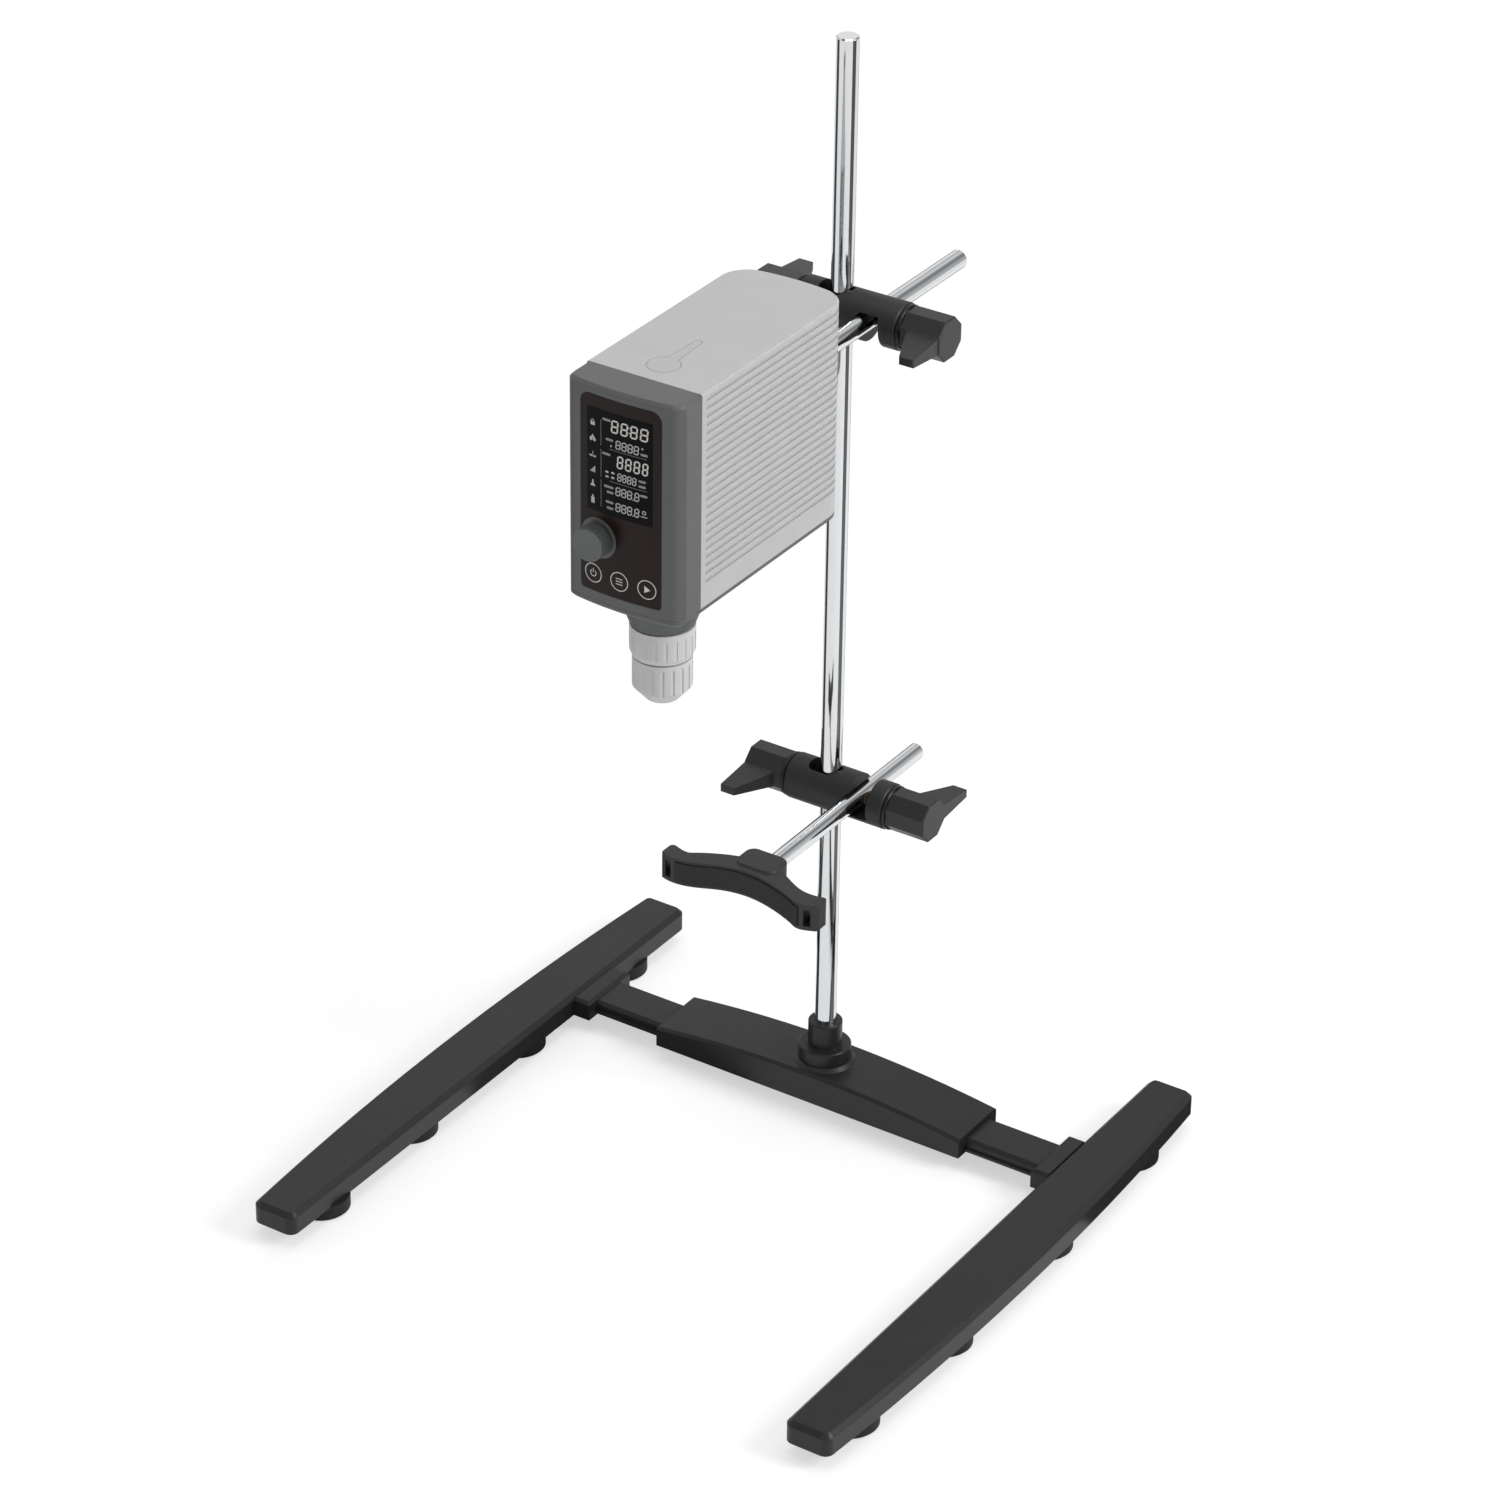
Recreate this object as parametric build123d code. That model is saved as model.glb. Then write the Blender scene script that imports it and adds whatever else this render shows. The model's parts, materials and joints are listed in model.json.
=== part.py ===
from build123d import *
import math
import os

os.makedirs("parts", exist_ok=True)

# Overhead laboratory stirrer on an H stand, in millimetres.
# X runs along the cross beam to the right, Y runs along the legs to the back, Z is up.
# The origin is on the bench, midway between the legs and midway along them.
# The display of the motor head faces -Y.

# Fits
shaft_gap = 0.06
slide_gap = 0.3
seat_gap = 0.1

# Stand rod
rod_r = 8.0
rod_length = 828.2
rod_y = 127.2
rod_chamfer = 1.0
rod_bolt_r = 4.0
rod_bolt_depth = 20.0
bolt_head_r = 6.5
bolt_head_height = 4.0

# Legs
leg_length = 507.0
leg_inner_x = 209.3
leg_end_width = 36.2
leg_mid_width = 47.0
leg_height = 17.5
leg_chamfer = 3.5
leg_corner_r = 7.0
rail_tenon = 20.0

# Feet, each place as (x, y)
foot_r = 21.5
foot_height = 11.5
foot_chamfer = 1.2
foot_stud_r = 4.0
foot_stud_length = 6.0
foot_places = ((227.0, -196.8), (232.0, -81.8), (232.0, 57.2), (228.0, 189.2))

# Sliding rails between the beam and the legs
rail_half_width = 17.5
rail_lip = 1.8
rail_lip_height = 2.2
rail_height = 9.6
rail_bottom = 14.4
rail_edge = 2.6
rail_inner_x = 72.0
block_length = 14.1
block_half_width = 27.5
block_top = 27.0
block_chamfer = 2.5
leg_screw_r = 2.5
leg_screw_length = 8.0
leg_screw_head_r = 4.5
leg_screw_head = 1.6
leg_screw_spacing = 18.0

# Cross beam
beam_half_length = 133.7
beam_half_depth = 26.8
beam_bottom = 11.7
beam_end_top = 27.7
beam_crown = 9.1
beam_edge = 2.2
beam_boss_r = 21.7
beam_boss_top = 39.3
beam_boss_flare = 3.0

# Rod socket
socket_flange_r = 19.7
socket_flange_top = 50.5
socket_r = 12.8
socket_top = 70.5
socket_edge = 0.8

# Clamp bosses
upper_boss_z = 654.2
lower_boss_z = 271.9
bar_r = 17.3
bar_edge = 1.2
slot_half = 9.2
window_left = 15.5
window_corner = 5.0
seat_flat = 1.8
arm_x = 24.5
arm_r = 7.0
strap_rod_r = 6.5
hook_gap = 8.5
hook_corner = 3.0
bar_left_wall = 15.0
bar_right_wall = 12.4

# Clamp screws and winged knobs
screw_r = 4.9
screw_bore_gap = 0.1
screw_tip_step = 1.6
screw_flange_r = 16.6
screw_flange = 2.8
screw_flange_edge = 0.6
screw_in_knob = 18.0
pad_r = 5.6
pad_thickness = 2.4
pad_pocket = 1.2
knob_across = 30.0
knob_length = 31.8
knob_edge = 0.7
wing_tip_r = 47.5
wing_root_start = 5.6
wing_tip_start = 20.0
wing_tip_thickness = 6.0

# Arms
support_arm_back = 115.0
support_arm_in_head = 24.0
strap_rod_back = 78.6
strap_rod_front = -139.0
arm_chamfer = 0.8

# Strap bow, depths measured forward from the stand rod
bow_half_length = 65.5
bow_height = 20.0
bow_end_front = 160.0
bow_end_back = 144.5
bow_bulge_front = 162.0
bow_bulge_at = 45.5
bow_hollow_front = 152.0
bow_hollow_at = 19.5
bow_centre_front = 149.0
bow_thickness = 15.5
bow_root_thickness = 18.5
bow_end_corner = 3.0
bow_hub_back = 117.5
bow_hub_front = 143.0
bow_hub_half = 17.0
bow_hub_corner = 8.0
bow_hub_rise = 1.3
bow_pad_thickness = 2.5
bow_pad_proud = 1.0
bow_pad_margin = 2.2
bow_pad_half = 52.0
strap_slot_at = 58.5
strap_slot_width = 5.0
strap_slot_height = 13.5

# Motor head
head_half_width = 44.9
head_top = 721.5
head_bottom = 561.0
plate_thickness = 4.5
plate_edge = 1.8
seam_y = -151.2
head_back_y = 28.9
head_back_bulge = 5.5
head_back_corner = 22.0
wall = 3.0
shell_edge = 1.2
cover_front_y = -179.8
cover_front_bulge = 4.5
cover_corner = 9.0
cover_edge = 2.5

# Ribs of the rear shell
groove_pitch = 6.0
groove_height = 2.4
groove_depth = 1.2
groove_first = 4.5
groove_start = 5.5
plain_band = 17.0

# Display panel
panel_half_width = 31.7
panel_bottom = 572.0
panel_top = 715.5
panel_corner = 8.0
panel_low_corner = 3.0
panel_depth = 1.2
lcd_half_width = 25.5
lcd_bottom = 632.0
lcd_top = 706.5
lcd_depth = 5.0
board_thickness = 1.6
board_gap = 1.0
board_margin = 4.5

# Control knob
dial_x = -17.0
dial_z = 612.0
dial_r = 11.7
dial_length = 12.0
dial_gap = 1.0
dial_recess_r = 14.5
dial_flutes = 30
dial_flute_depth = 0.6
dial_plain = 2.5
encoder_r = 3.0
encoder_stroke = 0.5
encoder_body_r = 6.0
encoder_body_depth = 6.0
encoder_in_body = 4.0

# Keys
key_r = 7.3
key_spacing = 21.1
key_z = 585.0
key_stroke = 0.4
key_count = 3

# Through opening and its cap
spindle_y = -128.8
cap_r = 11.2
cap_depth = 2.0
cap_plug_r = 8.8
cap_plug_depth = 3.0
cap_tongue_length = 40.0
cap_tongue_root = 4.6
cap_tongue_tip = 2.6

# Neck, spindle and bearings
neck_top_r = 32.6
neck_bottom_r = 22.4
neck_bottom = 533.2
neck_edge = 0.8
spindle_r = 8.5
spindle_bore_r = 5.4
spindle_top = 712.0
bearing_r = 17.5
bearing_width = 10.0
bearing_shoulder = 2.0
housing_wall = 2.5
housing_top = 606.0
housing_flange_r = 32.0
housing_flange = 5.0

# Gear drive
gear_module = 1.5
gear_teeth = 48
pinion_teeth = 16
gear_width = 10.0
gear_gap = 3.0
tooth_backlash = 0.2
pressure_angle = 20.0

# Motor
motor_r = 30.0
motor_height = 60.0
motor_wall = 2.5
motor_edge = 1.5
rotor_r = 20.0
rotor_gap = 2.0
motor_shaft_r = 4.0
gear_plate_thickness = 4.0
gear_plate_half_x = 37.0
gear_plate_front = 20.0
gear_plate_back = 40.0
standoff_r = 4.0
standoff_inset = 5.0

# Rear fittings
inlet_r = 5.5
inlet_bore_r = 3.2
inlet_depth = 14.0
inlet_flange_r = 7.5
inlet_flange = 2.2
flange_sink = 0.8
inlet_x = 22.0
arm_socket_r = 12.0
arm_socket_flange_r = 15.0
arm_socket_flange = 3.0
arm_socket_wall = 4.0
cover_screw_r = 1.5
cover_screw_head_r = 2.8
cover_screw_head = 1.6
cover_screw_length = 6.0

# Chuck
collar_r = 22.4
collar_low_r = 20.7
collar_height = 22.8
collar_taper = 4.0
chuck_core_r = 16.5
chuck_bore_r = 5.3
sleeve_r = 20.5
chuck_seam = 1.4
sleeve_height = 32.0
sleeve_nose = 9.9
sleeve_nose_r = 11.8
sleeve_mouth_r = 7.6
sleeve_floor = 2.6
collar_flutes = 20
sleeve_flutes = 18
flute_share = 0.36
flute_depth = 0.8
collar_flute_depth = 0.5
collar_plain = 5.0
sleeve_plain = 3.5
jaw_travel = 12.5
jaw_r = 3.0
jaw_angle = 18.0
jaw_recess = 15.0
jaw_clearance = 5.5
jaw_length = 20.0
jaw_grip_r = 5.1
jaw_face_half = 1.9
jaw_offset = 4.5
jaw_count = 3

# Values that follow from the ones above
leg_top = foot_height + leg_height
rail_top = rail_bottom + rail_height
rod_bottom = beam_end_top + seat_gap
rod_top = rod_bottom + rod_length
bar_left = -(window_left + bar_left_wall)
hook_right = arm_x + arm_r + hook_gap
bar_right = hook_right + bar_right_wall
knob_circle_r = knob_across / 2 / math.cos(math.pi / 8)
shell_bottom = head_bottom + plate_thickness
spindle_x = arm_x
gear_z = housing_top + gear_gap
gear_plate_z = gear_z + gear_width + gear_gap
gear_distance = gear_module * (gear_teeth + pinion_teeth) / 2
motor_y = spindle_y + gear_distance
motor_bottom = gear_plate_z + gear_plate_thickness
motor_top = motor_bottom + motor_height
collar_top = neck_bottom - 2 * slide_gap
collar_bottom = collar_top - collar_height
sleeve_top = collar_bottom - chuck_seam
sleeve_bottom = sleeve_top - sleeve_height
sleeve_taper = sleeve_bottom + sleeve_nose
chuck_core_bottom = sleeve_bottom + sleeve_floor + 4 * slide_gap
jaw_tip = sleeve_bottom + jaw_recess
spindle_seat = jaw_tip + jaw_length * math.cos(math.radians(jaw_angle)) + jaw_clearance


def save(name, shape):
    """Write one named piece, or one group of alike pieces."""
    solids = shape if isinstance(shape, list) else list(shape.solids())
    body = solids[0] if len(solids) == 1 else Compound(children=solids)
    body.label = name
    export_step(body, f"parts/{name}.step")


def cylinder_z(x, y, low, high, radius):
    """A round bar along Z."""
    return Pos(x, y, low) * extrude(Circle(radius), amount=high - low)


def cylinder_y(x, z, front, back, radius):
    """A round bar along Y."""
    plane = Plane(origin=(x, front, z), x_dir=(1, 0, 0), z_dir=(0, 1, 0))
    return extrude(plane * Circle(radius), amount=back - front)


def cylinder_x(y, z, low, high, radius):
    """A round bar along X."""
    plane = Plane(origin=(low, y, z), x_dir=(0, 1, 0), z_dir=(1, 0, 0))
    return extrude(plane * Circle(radius), amount=high - low)


def block(x0, x1, y0, y1, z0, z1):
    """A plain block between two corners."""
    centre = Pos((x0 + x1) / 2, (y0 + y1) / 2, (z0 + z1) / 2)
    return centre * Box(x1 - x0, y1 - y0, z1 - z0)


def turned(profile):
    """A solid of revolution about Z from (radius, height) points."""
    points = [(r, 0, z) for r, z in profile]
    face = make_face(Polyline(*points, close=True))
    return revolve(face, Axis.Z)


def edges_at(shape, height):
    """The edges that lie in one horizontal plane."""
    return shape.edges().filter_by_position(Axis.Z, height - 0.01, height + 0.01)


# Stand
def leg_blank():
    """The right leg: straight inside, bowed outside, bevelled round its top."""
    half = leg_length / 2
    outer = leg_inner_x + leg_end_width
    front_inner = (leg_inner_x, -half)
    back_inner = (leg_inner_x, half)
    inner = Line(back_inner, front_inner)
    front = Line(front_inner, (outer, -half))
    bow = ThreePointArc((outer, -half), (leg_inner_x + leg_mid_width, 0), (outer, half))
    back = Line((outer, half), back_inner)
    outline = make_face(inner + front + bow + back)
    outline = fillet(outline.vertices(), leg_corner_r)
    leg = Pos(0, 0, foot_height) * extrude(outline, amount=leg_height)
    return chamfer(edges_at(leg, leg_top), leg_chamfer)


def foot(x, y):
    """A rubber disc with a stud that plugs into the leg."""
    disc = cylinder_z(x, y, 0, foot_height, foot_r)
    disc = chamfer(edges_at(disc, 0), foot_chamfer)
    return disc + cylinder_z(x, y, foot_height, foot_height + foot_stud_length, foot_stud_r)


def rail_section(gap=0.0):
    """The rail's end view in (Y, Z): rounded top edges and a lip along the foot."""
    half = rail_half_width + gap
    low = rail_bottom - gap
    high = rail_top + gap
    lip_top = rail_bottom + rail_lip_height + gap
    points = [
        (rod_y - half - rail_lip, low),
        (rod_y + half + rail_lip, low),
        (rod_y + half + rail_lip, lip_top),
        (rod_y + half, lip_top),
        (rod_y + half, high - rail_edge),
        (rod_y + half - rail_edge, high),
        (rod_y - half + rail_edge, high),
        (rod_y - half, high - rail_edge),
        (rod_y - half, lip_top),
        (rod_y - half - rail_lip, lip_top),
    ]
    return make_face(Polyline(*[(0, y, z) for y, z in points], close=True))


def rail_bar(low, high, gap=0.0):
    """The rail's section drawn out along X."""
    return Pos(low, 0, 0) * extrude(rail_section(gap), amount=high - low, dir=(1, 0, 0))


def slide_rail():
    """The right rail with the block that butts against the leg."""
    bar = rail_bar(rail_inner_x, leg_inner_x + rail_tenon)
    x0 = leg_inner_x - block_length
    y0 = rod_y - block_half_width
    y1 = rod_y + block_half_width
    end = block(x0, leg_inner_x, y0, y1, foot_height, block_top)
    top_edges = edges_at(end, block_top)
    inner_edges = top_edges.sort_by(Axis.X)[:3]
    end = chamfer(inner_edges, block_chamfer)
    return bar + end


def leg_screw_places():
    """Two screws under each leg hold the end of its rail."""
    x = leg_inner_x + rail_tenon / 2
    for side in (-1, 1):
        yield x, rod_y + side * leg_screw_spacing / 2


def leg_screw(x, y):
    """A pan head screw pointing up, its head sunk into the leg."""
    head_low = foot_height + seat_gap
    head_high = head_low + leg_screw_head
    head = cylinder_z(x, y, head_low, head_high, leg_screw_head_r)
    shank = cylinder_z(x, y, head_high, head_low + leg_screw_length, leg_screw_r)
    return head + shank


def make_legs():
    """Legs, rails, feet and screws, right side modelled and left side mirrored."""
    leg = leg_blank() - rail_bar(leg_inner_x - 1, leg_inner_x + rail_tenon)
    rail = slide_rail()
    feet = []
    screws = []
    for x, y in foot_places:
        leg -= cylinder_z(x, y, foot_height, foot_height + foot_stud_length, foot_stud_r)
        feet.append(foot(x, y))
    for x, y in leg_screw_places():
        head_high = foot_height + seat_gap + leg_screw_head
        leg -= cylinder_z(x, y, foot_height, head_high, leg_screw_head_r)
        leg -= cylinder_z(x, y, foot_height, rail_bottom, leg_screw_r)
        screw = leg_screw(x, y)
        rail -= screw
        screws.append(screw)
    pieces = {"leg": [leg], "slide_rail": [rail], "feet": feet, "leg_screws": screws}
    for name, solids in pieces.items():
        save(f"{name}_right", solids)
        save(f"{name}_left", [mirror(s, about=Plane.YZ) for s in solids])


def beam_sleeve():
    """The hollow beam: plain sides, an arched top and a low round boss."""
    left = (-beam_half_length, 0, beam_end_top)
    right = (beam_half_length, 0, beam_end_top)
    arch = ThreePointArc(left, (0, 0, beam_end_top + beam_crown), right)
    low_right = (beam_half_length, 0, beam_bottom)
    low_left = (-beam_half_length, 0, beam_bottom)
    face = make_face(arch + Polyline(right, low_right, low_left, left))
    beam = extrude(face, amount=beam_half_depth, both=True)
    beam = Pos(0, rod_y, 0) * chamfer(beam.edges().filter_by(GeomType.CIRCLE), beam_edge)
    boss = turned([(0, beam_bottom), (beam_boss_r + beam_boss_flare, beam_bottom),
                   (beam_boss_r + beam_boss_flare, beam_boss_top - beam_boss_flare - 1),
                   (beam_boss_r, beam_boss_top - 1), (beam_boss_r - 1, beam_boss_top),
                   (0, beam_boss_top)])
    beam += Pos(0, rod_y, 0) * boss
    beam -= rail_bar(-beam_half_length - 1, beam_half_length + 1, slide_gap)
    beam -= cylinder_z(0, rod_y, rod_bottom, beam_boss_top + 1, rod_r)
    beam -= cylinder_z(0, rod_y, 0, beam_boss_top, rod_bolt_r)
    return beam


def rod_socket():
    """The stepped collar that steadies the rod above the beam."""
    flange = cylinder_z(0, rod_y, beam_boss_top, socket_flange_top, socket_flange_r)
    flange = chamfer(edges_at(flange, socket_flange_top), socket_edge)
    collar = cylinder_z(0, rod_y, beam_boss_top, socket_top, socket_r)
    collar = chamfer(edges_at(collar, socket_top), socket_edge)
    return flange + collar - cylinder_z(0, rod_y, 0, socket_top + 1, rod_r)


def rod_bolt():
    """The bolt that holds the rod from below the beam."""
    head = cylinder_z(0, rod_y, beam_bottom - bolt_head_height, beam_bottom, bolt_head_r)
    shank = cylinder_z(0, rod_y, beam_bottom, rod_bottom + rod_bolt_depth, rod_bolt_r)
    return head + shank


def stand_rod():
    """The plain upright rod."""
    rod = cylinder_z(0, rod_y, rod_bottom, rod_top, rod_r)
    rod = chamfer(edges_at(rod, rod_top), rod_chamfer)
    return rod - cylinder_z(0, rod_y, rod_bottom, rod_bottom + rod_bolt_depth, rod_bolt_r)


# Clamps
def seat_points(x_centre, radius, side):
    """A vee seat for a rod, blunt at its root, opening towards side."""
    root = radius * math.sqrt(2) + seat_gap
    blunt = x_centre - side * (root - seat_flat)
    mouth = x_centre - side * (root - slot_half)
    return [(mouth, -slot_half), (blunt, -seat_flat), (blunt, seat_flat), (mouth, slot_half)]


def window_cut():
    """The closed window for the stand rod, seen from above."""
    seat = seat_points(0, rod_r, -1)
    corners = [(-window_left, -slot_half)] + seat + [(-window_left, slot_half)]
    face = make_face(Polyline(*corners, close=True))
    left_corners = face.vertices().sort_by(Axis.X)[:2]
    face = fillet(left_corners, window_corner)
    return Pos(0, 0, -bar_r - 1) * extrude(face, amount=2 * bar_r + 2)


def hook_cut(radius):
    """The open hook for an arm, seen from the front, open at the top."""
    seat = seat_points(arm_x, radius, 1)
    mouth = seat[0][0]
    top = bar_r + 1
    points = [(hook_right, -slot_half)] + seat + [(mouth, top), (hook_right, top)]
    plane = Plane(origin=(0, bar_r + 1, 0), x_dir=(1, 0, 0), z_dir=(0, -1, 0))
    face = make_face(Polyline(*points, close=True))
    low_right = face.vertices().sort_by(Axis.Y)[:2].sort_by(Axis.X)[-1:]
    face = fillet(low_right, hook_corner)
    return extrude(plane * face, amount=2 * bar_r + 2)


def boss_head(height, hook_up, arm_radius):
    """A round bar with a window for the stand rod and a hook for an arm."""
    bar = cylinder_x(0, 0, bar_left, bar_right, bar_r)
    bar = chamfer(bar.edges().filter_by(GeomType.CIRCLE), bar_edge)
    bar = bar - window_cut() - hook_cut(arm_radius)
    bore = screw_r + screw_bore_gap
    bar -= cylinder_x(0, 0, bar_left - 1, -window_left + 1, bore)
    bar -= cylinder_x(0, 0, hook_right - 1, bar_right + 1, bore)
    if not hook_up:
        bar = Rot(X=180) * bar
    return Pos(0, rod_y, height) * bar


def wing():
    """The tapered wing of a knob, pointing along +Y from the bar's axis."""
    flat = knob_circle_r * math.sin(math.pi / 8)
    root_y = knob_across / 2 - 0.5
    root = Plane(origin=(0, root_y, 0), x_dir=(1, 0, 0), z_dir=(0, 1, 0))
    tip = Plane(origin=(0, wing_tip_r, 0), x_dir=(1, 0, 0), z_dir=(0, 1, 0))
    end = knob_length - knob_edge
    root_face = root * Pos((wing_root_start + end) / 2, 0) * Rectangle(end - wing_root_start, 2 * flat)
    tip_face = tip * Pos((wing_tip_start + end) / 2, 0) * Rectangle(
        end - wing_tip_start, wing_tip_thickness)
    blade = loft([root_face, tip_face], ruled=True)
    tip_edges = blade.edges().filter_by_position(Axis.Y, wing_tip_r - 0.01, wing_tip_r + 0.01)
    return chamfer(tip_edges, knob_edge)


def winged_knob():
    """An eight sided grip with one wing, its bore along X from the origin."""
    side = Plane(origin=(0, 0, 0), x_dir=(0, 1, 0), z_dir=(1, 0, 0))
    octagon = side * Rot(Z=22.5) * RegularPolygon(knob_circle_r, 8)
    grip = extrude(octagon, amount=knob_length)
    outer = grip.edges().filter_by_position(Axis.X, knob_length - 0.01, knob_length + 0.01)
    grip = chamfer(outer, knob_edge)
    return grip + wing() - cylinder_x(0, 0, -1, screw_in_knob, screw_r + shaft_gap)


def clamp_screw(reach):
    """A screw whose flange rests near the bar end and whose tip turns in its pad."""
    tip_r = screw_r - screw_tip_step
    tip = cylinder_x(0, 0, -reach, 0, screw_r)
    tip += cylinder_x(0, 0, -reach - pad_pocket + seat_gap, 0, tip_r)
    flange = cylinder_x(0, 0, 0, screw_flange, screw_flange_r)
    rim = flange.edges().filter_by(GeomType.CIRCLE)
    flange = chamfer(rim, screw_flange_edge)
    tail = cylinder_x(0, 0, 0, screw_flange + screw_in_knob, screw_r)
    return tip + flange + tail


def pressure_pad():
    """The brass pad at a screw's tip, its pocket facing the screw."""
    pad = cylinder_x(0, 0, -pad_thickness, 0, pad_r)
    pad = chamfer(pad.edges().filter_by(GeomType.CIRCLE), 0.4)
    return pad - cylinder_x(0, 0, -pad_pocket, 1, screw_r - screw_tip_step + shaft_gap)


def make_clamp(name, height, hook_up, wing_side, arm_radius):
    """One boss head with its two clamp screws, pads and winged knobs."""
    save(f"{name}_boss", boss_head(height, hook_up, arm_radius))
    rod_face = bar_left - slide_gap
    arm_face = bar_right + slide_gap
    rod_reach = -rod_face - rod_r - pad_thickness - 2 * seat_gap
    arm_reach = arm_face - arm_x - arm_radius - pad_thickness - 2 * seat_gap
    at_left = Pos(rod_face, rod_y, height) * Rot(Z=180)
    at_right = Pos(arm_face, rod_y, height)
    lift = Pos(screw_flange + seat_gap, 0, 0)
    turn = Rot(X=0) if wing_side > 0 else Rot(X=180)
    save(f"{name}_rod_pad", at_left * Pos(-rod_reach - seat_gap, 0, 0) * pressure_pad())
    save(f"{name}_arm_pad", at_right * Pos(-arm_reach - seat_gap, 0, 0) * pressure_pad())
    save(f"{name}_rod_screw", at_left * clamp_screw(rod_reach))
    save(f"{name}_rod_knob", at_left * lift * turn * winged_knob())
    save(f"{name}_arm_screw", at_right * clamp_screw(arm_reach))
    save(f"{name}_arm_knob", at_right * lift * turn * winged_knob())


def support_arm():
    """The plain rod that carries the motor head."""
    front = head_back_y - support_arm_in_head
    arm = cylinder_y(arm_x, upper_boss_z, front, rod_y + support_arm_back, arm_r)
    return chamfer(arm.edges().filter_by(GeomType.CIRCLE), arm_chamfer)


def strap_rod():
    """The plain rod that carries the strap bow."""
    front = rod_y + strap_rod_front
    arm = cylinder_y(arm_x, lower_boss_z, front, rod_y + strap_rod_back, strap_rod_r)
    return chamfer(arm.edges().filter_by(GeomType.CIRCLE), arm_chamfer)


def bow_front_curve(back):
    """The wavy front of the bow in plan, moved back by a depth."""
    y = rod_y + back
    points = [
        (arm_x - bow_half_length, y - bow_end_front),
        (arm_x - bow_bulge_at, y - bow_bulge_front),
        (arm_x - bow_hollow_at, y - bow_hollow_front),
        (arm_x, y - bow_centre_front),
        (arm_x + bow_hollow_at, y - bow_hollow_front),
        (arm_x + bow_bulge_at, y - bow_bulge_front),
        (arm_x + bow_half_length, y - bow_end_front),
    ]
    return Spline(*points, tangents=[(1, -0.5), (1, 0.5)])


def bow_back_curve():
    """The wavy back of the bow in plan."""
    bulge_y = rod_y - bow_bulge_front + bow_thickness
    root_y = rod_y - bow_hollow_front + bow_root_thickness
    points = [
        (arm_x + bow_half_length, rod_y - bow_end_back),
        (arm_x + bow_bulge_at, bulge_y),
        (arm_x + bow_hollow_at, root_y),
        (arm_x - bow_hollow_at, root_y),
        (arm_x - bow_bulge_at, bulge_y),
        (arm_x - bow_half_length, rod_y - bow_end_back),
    ]
    return Spline(*points, tangents=[(-1, -0.4), (-1, 0.4)])


def bow_outline():
    """The bow seen from above, without its hub."""
    front_y = rod_y - bow_end_front + bow_pad_proud
    back_y = rod_y - bow_end_back
    left = arm_x - bow_half_length
    right = arm_x + bow_half_length
    ends = Line((right, front_y), (right, back_y)) + Line((left, back_y), (left, front_y))
    face = make_face(bow_front_curve(bow_pad_proud) + ends + bow_back_curve())
    return fillet(face.vertices(), bow_end_corner)


def bow_pad_shape():
    """The soft strip that stands proud along the front of the bow."""
    left = arm_x - bow_half_length
    right = arm_x + bow_half_length
    y0 = rod_y - bow_end_front
    y1 = y0 + bow_pad_thickness
    ends = Line((right, y0), (right, y1)) + Line((left, y1), (left, y0))
    face = make_face(bow_front_curve(0) + ends + bow_front_curve(bow_pad_thickness))
    low = lower_boss_z - bow_height / 2 + bow_pad_margin
    high = lower_boss_z + bow_height / 2 - bow_pad_margin
    strip = Pos(0, 0, low) * extrude(face, amount=high - low)
    keep = block(arm_x - bow_pad_half, arm_x + bow_pad_half, -leg_length, leg_length, low, high)
    return strip & keep


def bow_hub():
    """The raised block in the middle that grips the rod."""
    depth = bow_hub_front - bow_hub_back
    low = lower_boss_z - bow_height / 2 - bow_hub_rise
    height = bow_height + 2 * bow_hub_rise
    middle = rod_y - (bow_hub_front + bow_hub_back) / 2
    face = Pos(arm_x, middle, low) * RectangleRounded(2 * bow_hub_half, depth, bow_hub_corner)
    hub = extrude(face, amount=height)
    return chamfer(edges_at(hub, low) + edges_at(hub, low + height), bow_hub_rise)


def strap_bow():
    """The bow that a vessel is strapped against."""
    low = lower_boss_z - bow_height / 2
    bow = Pos(0, 0, low) * extrude(bow_outline(), amount=bow_height)
    bow += bow_hub()
    front = rod_y + strap_rod_front
    bow -= cylinder_y(arm_x, lower_boss_z, front - seat_gap, rod_y, strap_rod_r + shaft_gap)
    for side in (-1, 1):
        x = arm_x + side * strap_slot_at
        bow -= block(x - strap_slot_width / 2, x + strap_slot_width / 2, -leg_length, leg_length,
                     lower_boss_z - strap_slot_height / 2, lower_boss_z + strap_slot_height / 2)
    return bow - bow_pad_shape()


# Motor head shells
def shell_outline(inset=0.0):
    """The rear shell seen from above, pulled in by a wall."""
    half = head_half_width - inset
    back = head_back_y - inset
    shoulder = back - head_back_bulge
    left = spindle_x - half
    right = spindle_x + half
    arc = ThreePointArc((right, shoulder), (spindle_x, back), (left, shoulder))
    lines = Line((left, shoulder), (left, seam_y)) + Line((left, seam_y), (right, seam_y))
    lines += Line((right, seam_y), (right, shoulder))
    face = make_face(lines + arc)
    corners = face.vertices().sort_by(Axis.Y)[-2:]
    return fillet(corners, head_back_corner - inset)


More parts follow.
